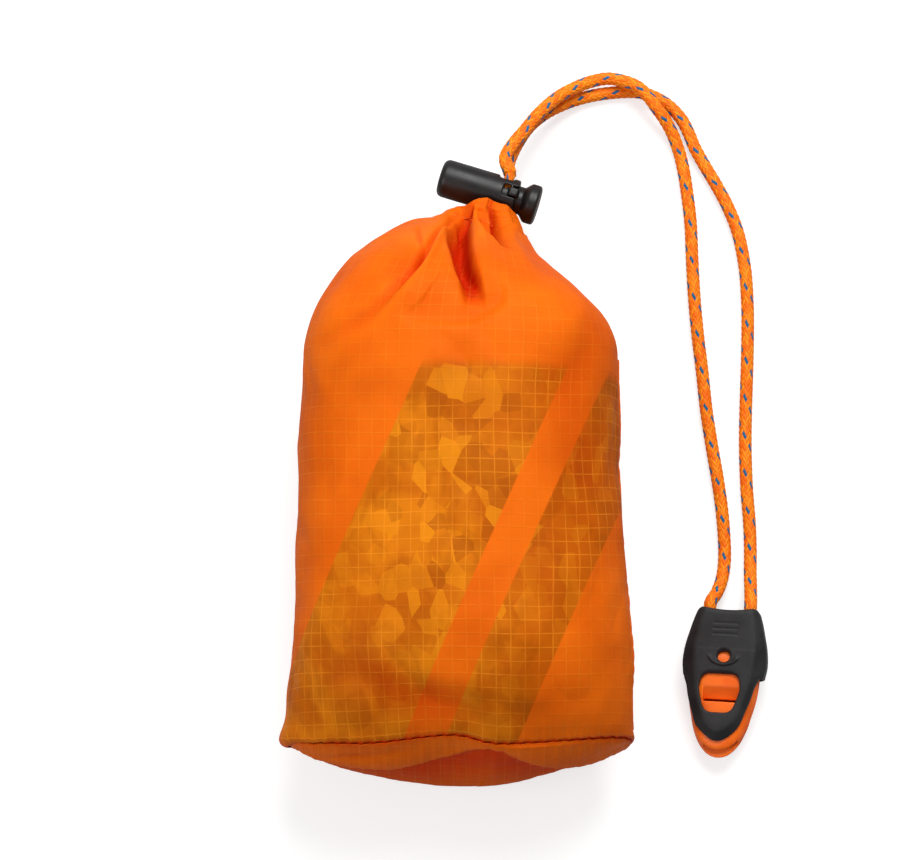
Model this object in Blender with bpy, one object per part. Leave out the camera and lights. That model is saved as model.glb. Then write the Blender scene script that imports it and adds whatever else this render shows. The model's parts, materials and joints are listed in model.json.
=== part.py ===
"""An emergency sleeping bag, packed in its ripstop stuff sack and lying on its back.

The sack is a sewn cloth tube with a bottom panel. A drawcord gathers its mouth, passes
through a spring cord lock and ends in a flat rescue whistle. The sleeping bag is rolled
up inside. Metres, +Z up. The sack's length runs along Y, with its mouth towards +Y, and
the origin is on the floor under the middle of the sack.
"""

import math
from collections import namedtuple

import bmesh
import bpy
from mathutils import Matrix, Vector

# Clearances
GAP = 0.0003

# Stuff sack
FABRIC = 0.0006
BODY_HALF_WIDTH = 0.0367
BODY_THICKNESS = 0.054
BODY_FLAT_DEPTH = 0.0007
BOTTOM_Y = -0.0465
SHOULDER_Y = 0.0429
SEAM_HALF_WIDTH = 0.0399
SEAM_THICKNESS = 0.041
SEAM_EASE = 0.026
SIDE_EASE = 0.060
SIDE_EASE_POWER = 1.25
SHOULDER_WIDTH_POWER = 1.856
SHOULDER_HEIGHT_POWER = 2.913
SHOULDER_LIFT_POWER = 4.13
SHOULDER_TILT_POWER = 1.20
SHOULDER_SHIFT_POWER = 1.74
BODY_SQUARENESS = 2.5
SECTION_POINTS = 48
BODY_SPANS = 8
SHOULDER_SPANS = 12
PANEL_BULGE = 0.0064
PANEL_PEAK_Z = 0.013
PANEL_SPANS = 8
PANEL_CENTRE_SHARE = 0.94
BOTTOM_SEAM_THICKNESS = 0.0009
BOTTOM_SEAM_PROUD = 0.0005
BOTTOM_SEAM_DEPTH = 0.004
SIDE_SEAM_WIDTH = 0.004
SIDE_SEAM_THICKNESS = 0.0006
SIDE_SEAM_MARGIN = 0.003
SIDE_SEAM_SPANS = 6
BODY_SPACING_POWER = 1.5

# Main folds of the cloth: points along each fold, how far it stands out at them, and its half width.
# On the mouth's upper side the points are x and y. On the bottom panel they are x and z.
MOUTH_FOLDS = (
    (((0.0010, 0.0790), (0.0004, 0.0700), (-0.0010, 0.0620), (-0.0020, 0.0535)),
     (-0.0015, -0.0042, -0.0036, -0.0017), (0.0020, 0.0030, 0.0055, 0.0092)),
    (((0.0052, 0.0620), (0.0066, 0.0540)), (-0.0010, -0.0015), (0.0015, 0.0034)),
)
PANEL_FOLDS = (
    (((-0.029, 0.024), (-0.016, 0.027), (-0.001, 0.034), (0.0055, 0.037)),
     (0.0005, 0.0011, 0.0010, 0.0007), (0.0040, 0.0036, 0.0034, 0.0030)),
    (((-0.027, 0.017), (-0.012, 0.019), (0.004, 0.027)), (-0.0004, -0.0009, -0.0005), (0.004, 0.0045, 0.004)),
    (((0.030, 0.022), (0.021, 0.032), (0.013, 0.038)), (0.0008, 0.0011, 0.0006), (0.0045, 0.0045, 0.0040)),
)

# Sleeping bag, rolled up
ROLL_MARGIN = 0.0025
ROLL_TURNS = 4.5
ROLL_START = math.radians(-110)
ROLL_CORE = 0.28
ROLL_TURN_GAP = 0.0011
ROLL_TURN_POINTS = 16
ROLL_SPANS = 5

# Cord lock
LOCK_YAW = math.radians(17.3)
LOCK_HOLE_X = 0.01033
LOCK_HOLE_Y = 0.0846
LOCK_HEIGHT = 0.014
BARREL_RADIUS = 0.00455
BARREL_CLOSED_END = -0.0148
BARREL_RIM = 0.0031
BARREL_END_WALL = 0.0014
BARREL_END_ROUNDING = 0.0014
BARREL_LIP = 0.0003
BORE_RADIUS = 0.0037
CLAMPED_CORD_RADIUS = 0.0012
BUTTON_TRAVEL = 0.0012
BUTTON_STEM_RADIUS = BORE_RADIUS - GAP
BUTTON_STEM_START = -0.0072
BUTTON_HEAD_GAP = 0.0015
BUTTON_HEAD_LENGTH = 0.0038
BUTTON_HEAD_RADIUS = 0.00475
BUTTON_FLARE_LENGTH = 0.0013
BUTTON_EDGE = 0.0004
CATCH_X = 0.0019
CATCH_LENGTH = 0.0008
CATCH_HEIGHT = 0.0042
CATCH_WIDTH = 0.0022
SPRING_WIRE_RADIUS = 0.0003
SPRING_RADIUS = 0.0027
SPRING_TURNS = 4.5
SPRING_TURN_POINTS = 10

# Hem channel round the mouth and the cord in it
LOOP_RADIUS = 0.0044
LOOP_END_ANGLE = math.radians(18)
LOOP_RISE_ANGLE = math.radians(62)
LOOP_RISE_STEPS = 7
LOOP_ROUND_STEPS = 18
CHANNEL_HEIGHT = 0.0046
CHANNEL_OUTER_RADIUS = 0.0080
NECK_FLARE = 0.0022
CHANNEL_SHIFT = 0.0009
CHANNEL_FOLD = 0.0008
CHANNEL_CORE_WALL = 0.0010
CHANNEL_PLEATS = 11
CHANNEL_PLEAT_DEPTH = 0.00015
CHANNEL_POINTS = 44

# Drawcord
CORD_RADIUS = 0.00155
LOOP_CORD_RADIUS = 0.0015
CORD_SQUEEZE_LENGTH = 0.004
CORD_STEP = 0.0036
ENTRY_RUN = 0.0026

# Free strands, as points of the cord's middle between the lock and the whistle
LEFT_ROUTE = (
    (0.0109, 0.0922, 0.0151), (0.0109, 0.0943, 0.0144), (0.0125, 0.0973, 0.0133),
    (0.0153, 0.1010, 0.0120), (0.0186, 0.1056, 0.0098), (0.0231, 0.1103, 0.0076),
    (0.0277, 0.1135, 0.0055), (0.0316, 0.1154, 0.0042), (0.0357, 0.1162, 0.0040),
    (0.0396, 0.1153, 0.0047), (0.0427, 0.1138, 0.0052), (0.0454, 0.1112, 0.0052),
    (0.0473, 0.1085, 0.0048), (0.0491, 0.1062, 0.0040), (0.0508, 0.1034, 0.0029),
    (0.0521, 0.1003, 0.0020), (0.0532, 0.0966, 0.0016), (0.0542, 0.0907, 0.0016),
    (0.0552, 0.0814, 0.0016), (0.0555, 0.0720, 0.0016), (0.0559, 0.0627, 0.0016),
    (0.0566, 0.0537, 0.0016), (0.0575, 0.0452, 0.0016), (0.0584, 0.0355, 0.0016),
    (0.0596, 0.0268, 0.0016), (0.0608, 0.0191, 0.0016), (0.0617, 0.0120, 0.0016),
    (0.0622, 0.0050, 0.0016), (0.0622, -0.0006, 0.0017), (0.0615, -0.0050, 0.0024),
    (0.0602, -0.0084, 0.0034),
)
RIGHT_ROUTE = (
    (0.0115, 0.0918, 0.0118), (0.0120, 0.0945, 0.0107), (0.0138, 0.0987, 0.0092),
    (0.0167, 0.1034, 0.0073), (0.0205, 0.1071, 0.0054), (0.0243, 0.1096, 0.0037),
    (0.0277, 0.1113, 0.0024), (0.0314, 0.1125, 0.0017), (0.0352, 0.1132, 0.0016),
    (0.0396, 0.1136, 0.0016), (0.0430, 0.1135, 0.0016), (0.0462, 0.1126, 0.0016),
    (0.0492, 0.1110, 0.0016), (0.0515, 0.1090, 0.0016), (0.0535, 0.1065, 0.0016),
    (0.0549, 0.1037, 0.0016), (0.0566, 0.0994, 0.0016), (0.0592, 0.0945, 0.0016),
    (0.0618, 0.0899, 0.0016), (0.0643, 0.0848, 0.0016), (0.0665, 0.0787, 0.0016),
    (0.0680, 0.0705, 0.0016), (0.0685, 0.0622, 0.0016), (0.0685, 0.0549, 0.0016),
    (0.0682, 0.0457, 0.0016), (0.0677, 0.0344, 0.0016), (0.0675, 0.0252, 0.0016),
    (0.0677, 0.0163, 0.0016), (0.0682, 0.0085, 0.0016), (0.0683, 0.0020, 0.0019),
    (0.0681, -0.0035, 0.0031), (0.0680, -0.0082, 0.0049),
)

# Whistle, in its own axes: X across, Y towards the cords with 0 at the cover's end, Z up from mid thickness
WHISTLE_X = 0.0631
WHISTLE_Y = -0.0127
WHISTLE_YAW = math.radians(-4.75)
WHISTLE_ROLL = math.radians(-11.0)
COVER_HALF_HEIGHT = 0.00475
COVER_WALL = 0.0010
COVER_END_WALL = 0.0022
COVER_SQUARENESS = 3.0
COVER_ROUNDING = 0.0009
COVER_SHAPE = (
    (0.0, 0.0069), (-0.0030, 0.0079), (-0.0060, 0.0087), (-0.0095, 0.0095),
    (-0.0130, 0.0098), (-0.0160, 0.0094),
)
TONGUE_SHAPE = (
    (-0.0100, 0.0082), (-0.0165, 0.0081), (-0.0215, 0.0072), (-0.0250, 0.0061),
    (-0.0280, 0.0046), (-0.0301, 0.0027), (-0.0311, 0.0010),
)
PLATEAU_SHAPE = (
    (-0.0100, 0.0068), (-0.0150, 0.0064), (-0.0200, 0.0056), (-0.0230, 0.0047),
    (-0.0255, 0.0035), (-0.0273, 0.0020), (-0.0281, 0.0008),
)
TONGUE_EDGE_Z = 0.0029
TONGUE_ROOT_Z = 0.0006
WINDOW_SHAPE = ((-0.0151, 0.0037), (-0.0192, 0.0045), (-0.0246, 0.0030))
AIR_HOLE_Y = -0.0114
AIR_HOLE_RADIUS = 0.00165
BODY_SHAPE = (
    (-0.0080, 0.0060), (-0.0092, 0.0071), (-0.0125, 0.0081), (-0.0160, 0.0085),
    (-0.0210, 0.00815), (-0.0260, 0.0071), (-0.0292, 0.0060), (-0.0319, 0.0046),
    (-0.0338, 0.0030), (-0.0346, 0.0017), (-0.0349, 0.0006),
)
BODY_HALF_HEIGHT = COVER_HALF_HEIGHT - COVER_WALL - GAP
BODY_TIP_HALF_HEIGHT = 0.0019
BODY_TIP_ROUNDING = 0.0003
BODY_TAPER_START = -0.0180
BODY_OVAL = 2.6
SHELL_SPLIT_Z = 0.0003
UPPER_SHELL_SETBACK = 0.0015
WINDWAY_HEIGHT = 0.0012
WINDWAY_HALF_WIDTH = 0.0039
WINDWAY_END = -0.0246
LABIUM_EDGE_Y = -0.0196
LABIUM_TOP_Y = -0.0148
LABIUM_EDGE_Z = 0.0011
CHAMBER_START = -0.0219
CHAMBER_END = -0.0098
CHAMBER_HALF_WIDTH = 0.0060
CHAMBER_FLOOR_Z = -0.0024
CORD_HOLE_SPACING = 0.0094
CORD_HOLE_CLEARANCE = 0.0003
KNOT_RADIUS = 0.0021
POCKET_END = -0.0076
POCKET_HALF_WIDTH = CORD_HOLE_SPACING / 2 + KNOT_RADIUS + GAP
POCKET_HALF_HEIGHT = KNOT_RADIUS + GAP
POCKET_SQUARENESS = 4.0
HOLE_POINTS = 20
COVER_ROUNDING_SPANS = 3
COVER_SPANS = 7
BODY_RING_SPANS = 14
KNOT_SPANS = 7

UP = Vector((0, 0, 1))
LOCK_ALONG = Vector((math.cos(LOCK_YAW), -math.sin(LOCK_YAW), 0))
LOCK_ACROSS = Vector((math.sin(LOCK_YAW), math.cos(LOCK_YAW), 0))
LOCK_HOLE = Vector((LOCK_HOLE_X, LOCK_HOLE_Y, LOCK_HEIGHT))
CHANNEL_TOP = LOCK_HOLE - LOCK_ACROSS * (BARREL_RADIUS + GAP)
LOOP_CENTRE_SHIFT = LOOP_RADIUS * math.cos(LOOP_END_ANGLE)
LOOP_CAVITY = LOOP_CORD_RADIUS + GAP
STRAND_OFFSET = CLAMPED_CORD_RADIUS + GAP / 2

Section = namedtuple("Section", "x y half_width low top squareness tilt")
Finish = namedtuple("Finish", "name colour roughness metallic")

RIPSTOP = Finish("ripstop", (0.86, 0.22, 0.02), 0.55, 0.0)
FOIL = Finish("foil", (0.72, 0.55, 0.30), 0.25, 0.9)
CORD = Finish("cord", (0.90, 0.27, 0.02), 0.70, 0.0)
BLACK_PLASTIC = Finish("black_plastic", (0.02, 0.02, 0.022), 0.45, 0.0)
BLACK_RUBBER = Finish("black_rubber", (0.025, 0.025, 0.028), 0.65, 0.0)
ORANGE_PLASTIC = Finish("orange_plastic", (0.90, 0.20, 0.02), 0.35, 0.0)
SPRING_STEEL = Finish("spring_steel", (0.60, 0.60, 0.62), 0.30, 1.0)


def clear_scene():
    for old in list(bpy.data.objects):
        bpy.data.objects.remove(old, do_unlink=True)


def material(finish, owner):
    made = bpy.data.materials.new(f"{owner}_{finish.name}")
    made.use_nodes = True
    shader = made.node_tree.nodes["Principled BSDF"]
    shader.inputs["Base Color"].default_value = (*finish.colour, 1.0)
    shader.inputs["Roughness"].default_value = finish.roughness
    shader.inputs["Metallic"].default_value = finish.metallic
    made.diffuse_color = (*finish.colour, 1.0)
    return made


def frame_empty(name, place, rotation):
    empty = bpy.data.objects.new(name, None)
    empty.empty_display_size = 0.01
    empty.matrix_world = Matrix.Translation(place) @ rotation.to_4x4()
    bpy.context.scene.collection.objects.link(empty)
    return empty


def solid(name, points, faces, finish, parent=None, sharp=math.radians(35)):
    """A closed mesh object with its faces pointing out."""
    mesh = bpy.data.meshes.new(name)
    mesh.from_pydata([tuple(p) for p in points], [], faces)
    work = bmesh.new()
    work.from_mesh(mesh)
    bmesh.ops.recalc_face_normals(work, faces=work.faces)
    work.to_mesh(mesh)
    work.free()
    mesh.shade_smooth()
    mesh.set_sharp_from_angle(angle=sharp)
    made = bpy.data.objects.new(name, mesh)
    made.parent = parent
    bpy.context.scene.collection.objects.link(made)
    if finish:
        mesh.materials.append(material(finish, name))
    else:
        made.hide_render = True
        made.display_type = "WIRE"
    return made


def loft(name, rings, finish, parent=None, closed=False):
    """One solid skinned over rings of equally many points. Its ends are capped unless it closes on itself."""
    count = len(rings[0])
    points = [p for ring in rings for p in ring]
    faces = []
    for i in range(len(rings) if closed else len(rings) - 1):
        first = i * count
        second = (i + 1) % len(rings) * count
        for k in range(count):
            after = (k + 1) % count
            faces.append((first + k, first + after, second + after, second + k))
    if not closed:
        faces.append(tuple(range(count)))
        faces.append(tuple(range(len(points) - count, len(points))))
    return solid(name, points, faces, finish, parent)


def turned(name, profile, finish, parent, steps=32):
    """A solid turned about the local X axis, from (x, radius) points. Both ends are closed with a disc."""
    rings = []
    for x, radius in profile:
        turn = [2 * math.pi * k / steps for k in range(steps)]
        rings.append([Vector((x, radius * math.cos(a), radius * math.sin(a))) for a in turn])
    return loft(name, rings, finish, parent)


def block(name, low, high, finish, parent):
    """A box between two corners."""
    rings = []
    for z in (low[2], high[2]):
        corners = ((low[0], low[1]), (high[0], low[1]), (high[0], high[1]), (low[0], high[1]))
        rings.append([Vector((x, y, z)) for x, y in corners])
    return loft(name, rings, finish, parent)


def combine(target, other, operation):
    step = target.modifiers.new(other.name, "BOOLEAN")
    step.operation = operation
    step.object = other


def cord_tube(name, points, radii, base_radius, finish, resolution=2):
    """A round tube along a line of points, with its own radius at each of them."""
    curve = bpy.data.curves.new(name, "CURVE")
    curve.dimensions = "3D"
    curve.bevel_depth = base_radius
    curve.bevel_resolution = resolution
    curve.use_fill_caps = True
    spline = curve.splines.new("POLY")
    spline.points.add(len(points) - 1)
    for knot, place, radius in zip(spline.points, points, radii):
        knot.co = (*place, 1.0)
        knot.radius = radius / base_radius
    spline.use_smooth = True
    made = bpy.data.objects.new(name, curve)
    curve.materials.append(material(finish, name))
    bpy.context.scene.collection.objects.link(made)
    return made


def smooth_line(route, step):
    """Points at even steps along a smooth curve through the route's points."""
    fine = []
    ends = [route[0] * 2 - route[1], *route, route[-1] * 2 - route[-2]]
    for before, here, after, beyond in zip(ends, ends[1:], ends[2:], ends[3:]):
        for k in range(16):
            t = k / 16
            fine.append(
                here
                + (after - before) * (t / 2)
                + (before * 2 - here * 5 + after * 4 - beyond) * (t * t / 2)
                + (here * 3 - before - after * 3 + beyond) * (t * t * t / 2)
            )
    fine.append(route[-1].copy())
    reach = [0.0]
    for a, b in zip(fine, fine[1:]):
        reach.append(reach[-1] + (b - a).length)
    count = max(2, round(reach[-1] / step))
    line = []
    i = 0
    for k in range(count + 1):
        target = reach[-1] * k / count
        while i < len(fine) - 2 and reach[i + 1] < target:
            i += 1
        share = (target - reach[i]) / (reach[i + 1] - reach[i])
        line.append(fine[i].lerp(fine[i + 1], min(1.0, share)))
    return line


def signed_power(value, power):
    return math.copysign(abs(value) ** power, value)


def shape_at(shape, y):
    """Half width at y, read from a smooth curve through an outline's (y, half width) points."""
    if y >= shape[0][0]:
        return shape[0][1]
    for i in range(len(shape) - 1):
        (y0, w0), (y1, w1) = shape[i], shape[i + 1]
        if y1 <= y:
            t = (y - y0) / (y1 - y0)
            before = shape[max(i - 1, 0)][1]
            beyond = shape[min(i + 2, len(shape) - 1)][1]
            return 0.5 * (
                2 * w0
                + (w1 - before) * t
                + (2 * before - 5 * w0 + 4 * w1 - beyond) * t * t
                + (3 * w0 - before - 3 * w1 + beyond) * t ** 3
            )
    return shape[-1][1]


# Stuff sack


def body_section(y):
    """The sack's cross-section below the shoulders. It widens into two corners at the bottom seam."""
    ease = max(0.0, 1 - (y - BOTTOM_Y) / SEAM_EASE) ** 2
    widening = max(0.0, 1 - (y - BOTTOM_Y) / SIDE_EASE) ** SIDE_EASE_POWER
    return Section(
        x=0.0,
        y=y,
        half_width=BODY_HALF_WIDTH + (SEAM_HALF_WIDTH - BODY_HALF_WIDTH) * widening,
        low=-BODY_FLAT_DEPTH,
        top=BODY_THICKNESS + (SEAM_THICKNESS - BODY_THICKNESS) * ease,
        squareness=BODY_SQUARENESS,
        tilt=0.0,
    )


def neck_section(below_channel):
    """The round end of the sack under the hem channel, square to the cords."""
    shift = LOOP_CENTRE_SHIFT - CHANNEL_SHIFT
    radius = CHANNEL_OUTER_RADIUS + NECK_FLARE
    place = CHANNEL_TOP - LOCK_ACROSS * (CHANNEL_HEIGHT + below_channel) - LOCK_ALONG * shift
    return Section(
        x=place.x,
        y=place.y,
        half_width=radius,
        low=LOCK_HEIGHT - radius,
        top=LOCK_HEIGHT + radius,
        squareness=2.0,
        tilt=LOCK_YAW,
    )


def shoulder_section(share):
    """A cross-section between the shoulder, at share 0, and the neck, at share 1."""
    foot = body_section(SHOULDER_Y)
    neck = neck_section(GAP)
    width = share ** SHOULDER_WIDTH_POWER
    height = share ** SHOULDER_HEIGHT_POWER
    low = foot.low + (neck.low - foot.low) * share ** SHOULDER_LIFT_POWER
    depth = foot.top - foot.low + (neck.top - neck.low - foot.top + foot.low) * height
    return Section(
        x=foot.x + (neck.x - foot.x) * share ** SHOULDER_SHIFT_POWER,
        y=foot.y + (neck.y - foot.y) * share,
        half_width=foot.half_width + (neck.half_width - foot.half_width) * width,
        low=low,
        top=low + depth,
        squareness=foot.squareness + (neck.squareness - foot.squareness) * share,
        tilt=neck.tilt * share ** SHOULDER_TILT_POWER,
    )


def section_ring(section, inset):
    """Points round a cross-section of the sack, moved inwards by inset and flat on the floor."""
    along = Vector((math.cos(section.tilt), -math.sin(section.tilt), 0))
    middle = (section.top + section.low) / 2
    half_height = (section.top - section.low) / 2 - inset
    half_width = section.half_width - inset
    ring = []
    for k in range(SECTION_POINTS):
        angle = 2 * math.pi * k / SECTION_POINTS
        across = half_width * signed_power(math.cos(angle), 2 / section.squareness)
        z = middle + half_height * signed_power(math.sin(angle), 2 / section.squareness)
        ring.append(Vector((section.x, section.y, max(z, inset, 0.0))) + along * across)
    return ring


def spaced(low_y, share):
    """A place between low_y and the shoulder, with more of them near the bottom, where the sack widens."""
    return low_y + (SHOULDER_Y - low_y) * share ** BODY_SPACING_POWER


def sack_sections():
    below = [body_section(spaced(BOTTOM_Y, k / BODY_SPANS)) for k in range(BODY_SPANS)]
    quarter = math.pi / 2
    above = [shoulder_section(math.sin(quarter * k / SHOULDER_SPANS)) for k in range(SHOULDER_SPANS + 1)]
    return below + above


def fold_height(across, along, folds, steepness):
    """How far the folds move the cloth out at a place in the plane that they are drawn in."""
    place = Vector((across, along))
    total = 0.0
    for points, heights, widths in folds:
        best = None
        for i in range(len(points) - 1):
            start, way = Vector(points[i]), Vector(points[i + 1]) - Vector(points[i])
            share = min(1.0, max(0.0, (place - start).dot(way) / way.length_squared))
            distance = (place - start - way * share).length
            if best is None or distance < best[0]:
                height = heights[i] + (heights[i + 1] - heights[i]) * share
                width = widths[i] + (widths[i + 1] - widths[i]) * share
                best = (distance, height, width)
        distance, height, width = best
        total += height * math.exp(-(distance / width) ** steepness)
    return total


def with_mouth_folds(outside, inside):
    """Both faces of the sack's wall, with the main folds under its mouth pressed into them."""
    moved_out, moved_in = [], []
    for i, ring in enumerate(outside):
        before, beyond = outside[max(i - 1, 0)], outside[min(i + 1, len(outside) - 1)]
        new_out, new_in = [], []
        for k, point in enumerate(ring):
            around = ring[(k + 1) % len(ring)] - ring[k - 1]
            normal = (beyond[k] - before[k]).cross(around).normalized()
            upper = min(1.0, max(0.0, normal.z * 2.2 + 0.1))
            move = normal * (fold_height(point.x, point.y, MOUTH_FOLDS, 4) * upper)
            new_out.append(point + move)
            new_in.append(inside[i][k] + move)
        moved_out.append(new_out)
        moved_in.append(new_in)
    return moved_out, moved_in


def make_sack_body():
    sections = sack_sections()
    plain_out = [section_ring(s, 0.0) for s in sections]
    plain_in = [section_ring(s, FABRIC) for s in sections]
    outside, inside = with_mouth_folds(plain_out, plain_in)
    loft("sack_body", outside + inside[::-1], RIPSTOP, closed=True)


def make_bottom_seam():
    """The folded seam allowance, a flat ring that stands a little proud of the cloth."""
    seam = body_section(BOTTOM_Y)
    front = seam.y - GAP
    rings = []
    for y, inset in (
        (front, -BOTTOM_SEAM_PROUD),
        (front - BOTTOM_SEAM_THICKNESS, -BOTTOM_SEAM_PROUD),
        (front - BOTTOM_SEAM_THICKNESS, BOTTOM_SEAM_DEPTH),
        (front, BOTTOM_SEAM_DEPTH),
    ):
        rings.append(section_ring(seam._replace(y=y), inset))
    loft("sack_bottom_seam", rings, RIPSTOP, closed=True)


def panel_ring(share, inset):
    """A ring of the bottom panel: share 0 is the seam and share 1 the middle of the bulge."""
    seam = body_section(BOTTOM_Y)
    edge_y = BOTTOM_Y - 2 * GAP - BOTTOM_SEAM_THICKNESS
    size = math.cos(share * math.pi / 2)
    bulge = PANEL_BULGE * (1 - size ** 2) - inset * share
    clear_of_rim = min(1.0, (1 - size) / 0.05)
    ring = []
    for p in section_ring(seam, inset):
        x, z = p.x * size, PANEL_PEAK_Z + (p.z - PANEL_PEAK_Z) * size
        fold = fold_height(x, z, PANEL_FOLDS, 2) * clear_of_rim
        ring.append(Vector((x, edge_y - bulge - fold, z)))
    return ring


def make_bottom_panel():
    shares = [PANEL_CENTRE_SHARE * k / PANEL_SPANS for k in range(PANEL_SPANS + 1)]
    outside = [panel_ring(s, 0.0) for s in reversed(shares)]
    inside = [panel_ring(s, FABRIC) for s in shares]
    loft("sack_bottom_panel", outside + inside, RIPSTOP)


def make_side_seam():
    """A stitched strip on the sack's right side, from the bottom seam to the shoulder."""
    low_y = BOTTOM_Y + SIDE_SEAM_MARGIN
    rings = []
    for k in range(SIDE_SEAM_SPANS + 1):
        section = body_section(spaced(low_y, k / SIDE_SEAM_SPANS))
        middle = (section.top + section.low) / 2
        near = section.half_width + GAP
        far = near + SIDE_SEAM_THICKNESS
        half = SIDE_SEAM_WIDTH / 2
        corners = ((near, -half), (far, -half), (far, half), (near, half))
        rings.append([Vector((x, section.y, middle + z)) for x, z in corners])
    loft("sack_side_seam", rings, RIPSTOP)


# Sleeping bag, rolled up


def roll_ring(section):
    """The spiral outline of the rolled bag in one cross-section of the sack."""
    clear = FABRIC + GAP
    half_width = section.half_width - clear
    low = clear
    top = section.top - clear
    middle = (low + top) / 2
    half_height = (top - low) / 2
    pitch = (1 - ROLL_CORE) / ROLL_TURNS
    band = pitch - ROLL_TURN_GAP / half_height
    steps = round(ROLL_TURNS * ROLL_TURN_POINTS)

    def point(turn, radius):
        angle = ROLL_START + 2 * math.pi * turn
        x = radius * half_width * signed_power(math.cos(angle), 2 / section.squareness)
        z = radius * half_height * signed_power(math.sin(angle), 2 / section.squareness)
        return Vector((x, section.y, middle + z))

    outer = []
    inner = []
    for k in range(steps + 1):
        turn = ROLL_TURNS * k / steps
        radius = 1 - pitch * turn
        outer.append(point(turn, radius))
        inner.append(point(turn, radius - band))
    return outer + inner[::-1]


def make_sleeping_bag_roll():
    low_y = BOTTOM_Y + ROLL_MARGIN
    rings = [roll_ring(body_section(spaced(low_y, k / ROLL_SPANS))) for k in range(ROLL_SPANS + 1)]
    loft("sleeping_bag_roll", rings, FOIL)


# Hem channel and the drawcord in it


def channel_point(radius, angle, height):
    """A point round the mouth: height runs up from the channel's middle, square to its plane."""
    middle = CHANNEL_TOP - LOCK_ACROSS * (CHANNEL_HEIGHT / 2) - LOCK_ALONG * LOOP_CENTRE_SHIFT
    outwards = LOCK_ALONG * math.cos(angle) + UP * math.sin(angle)
    return middle + outwards * radius + LOCK_ACROSS * height


def channel_outer_radius(angle):
    """The pleated outside of the channel, a circle set off towards the lock's button."""
    across = CHANNEL_SHIFT * math.sin(angle)
    circle = CHANNEL_SHIFT * math.cos(angle) + math.sqrt(CHANNEL_OUTER_RADIUS ** 2 - across ** 2)
    return circle - CHANNEL_PLEAT_DEPTH * (1 - math.cos(CHANNEL_PLEATS * angle))


def make_channel():
    """The hem folded over the cord: a ring with a U section that flares open towards the sack."""
    half = CHANNEL_HEIGHT / 2
    cavity_in = LOOP_RADIUS - LOOP_CAVITY
    cavity_out = LOOP_RADIUS + LOOP_CAVITY
    core = cavity_in - CHANNEL_CORE_WALL
    under_fold = half - CHANNEL_FOLD
    rings = []
    for k in range(CHANNEL_POINTS):
        angle = 2 * math.pi * k / CHANNEL_POINTS
        outer = channel_outer_radius(angle)
        profile = (
            (outer + NECK_FLARE, -half), (outer, under_fold), (outer - CHANNEL_FOLD, half), (core, half),
            (core, -half), (cavity_in, -half), (cavity_in, under_fold),
            (cavity_out, under_fold), (cavity_out + NECK_FLARE, -half),
        )
        rings.append([channel_point(radius, angle, height) for radius, height in profile])
    channel = loft("drawcord_channel", rings, RIPSTOP, closed=True)
    side = LOCK_ALONG * (CLAMPED_CORD_RADIUS + 2 * GAP)
    tall = UP * (STRAND_OFFSET + LOOP_CORD_RADIUS + GAP)
    slot = []
    for depth in (-CHANNEL_FOLD - CHANNEL_HEIGHT / 4, CHANNEL_FOLD):
        middle = CHANNEL_TOP + LOCK_ACROSS * depth
        slot.append([middle - side - tall, middle + side - tall, middle + side + tall, middle - side + tall])
    combine(channel, loft("cord_exit_cutter", slot, None), "DIFFERENCE")


def make_channel_loop():
    """The cord's round inside the channel. Both ends turn up towards the lock."""
    level = -GAP
    top = CHANNEL_HEIGHT / 2 - GAP / 2
    points = []
    radii = []
    for k in range(LOOP_RISE_STEPS):
        turn = math.pi / 2 * k / LOOP_RISE_STEPS
        angle = LOOP_END_ANGLE + (LOOP_RISE_ANGLE - LOOP_END_ANGLE) * (1 - math.cos(turn))
        points.append(channel_point(LOOP_RADIUS, angle, top - (top - level) * math.sin(turn)))
        share = k / LOOP_RISE_STEPS
        radii.append(CLAMPED_CORD_RADIUS + (LOOP_CORD_RADIUS - CLAMPED_CORD_RADIUS) * share)
    ends = list(zip(points, radii))
    for k in range(LOOP_ROUND_STEPS + 1):
        angle = LOOP_RISE_ANGLE + (2 * math.pi - 2 * LOOP_RISE_ANGLE) * k / LOOP_ROUND_STEPS
        points.append(channel_point(LOOP_RADIUS, angle, level))
        radii.append(LOOP_CORD_RADIUS)
    for place, radius in reversed(ends):
        across = (place - LOCK_HOLE).dot(UP)
        points.append(place - UP * (2 * across))
        radii.append(radius)
    cord_tube("drawcord_channel_loop", points, radii, LOOP_CORD_RADIUS, CORD)


def whistle_matrix(height):
    turn = Matrix.Rotation(WHISTLE_YAW, 3, "Z") @ Matrix.Rotation(WHISTLE_ROLL, 3, "Y")
    return Matrix.Translation((WHISTLE_X, WHISTLE_Y, height)) @ turn.to_4x4()


def make_strand(name, route, side, whistle):
    """A free strand: up through the lock, along its route and into the whistle's cover."""
    offset = UP * (side * STRAND_OFFSET)
    start = CHANNEL_TOP + LOCK_ACROSS * (GAP / 2) + offset
    clear = LOCK_HOLE + LOCK_ACROSS * (BARREL_RADIUS + 2 * GAP) + offset
    hole_x = -side * CORD_HOLE_SPACING / 2
    entry = whistle @ Vector((hole_x, ENTRY_RUN / 2, 0))
    end = whistle @ Vector((hole_x, -COVER_END_WALL, 0))
    places = [start, start.lerp(clear, 0.5), clear, *(Vector(p) for p in route), entry, end]
    line = smooth_line(places, CORD_STEP)
    squeezed = (clear - start).length
    radii = []
    reach = 0.0
    for before, here in zip([line[0], *line], line):
        reach += (here - before).length
        share = min(1.0, max(0.0, (reach - squeezed) / CORD_SQUEEZE_LENGTH))
        radii.append(CLAMPED_CORD_RADIUS + (CORD_RADIUS - CLAMPED_CORD_RADIUS) * share)
    cord_tube(name, line, radii, CORD_RADIUS, CORD)


# Cord lock, in its own axes: X along the barrel, Y along the cords, origin where the cords are clamped


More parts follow.
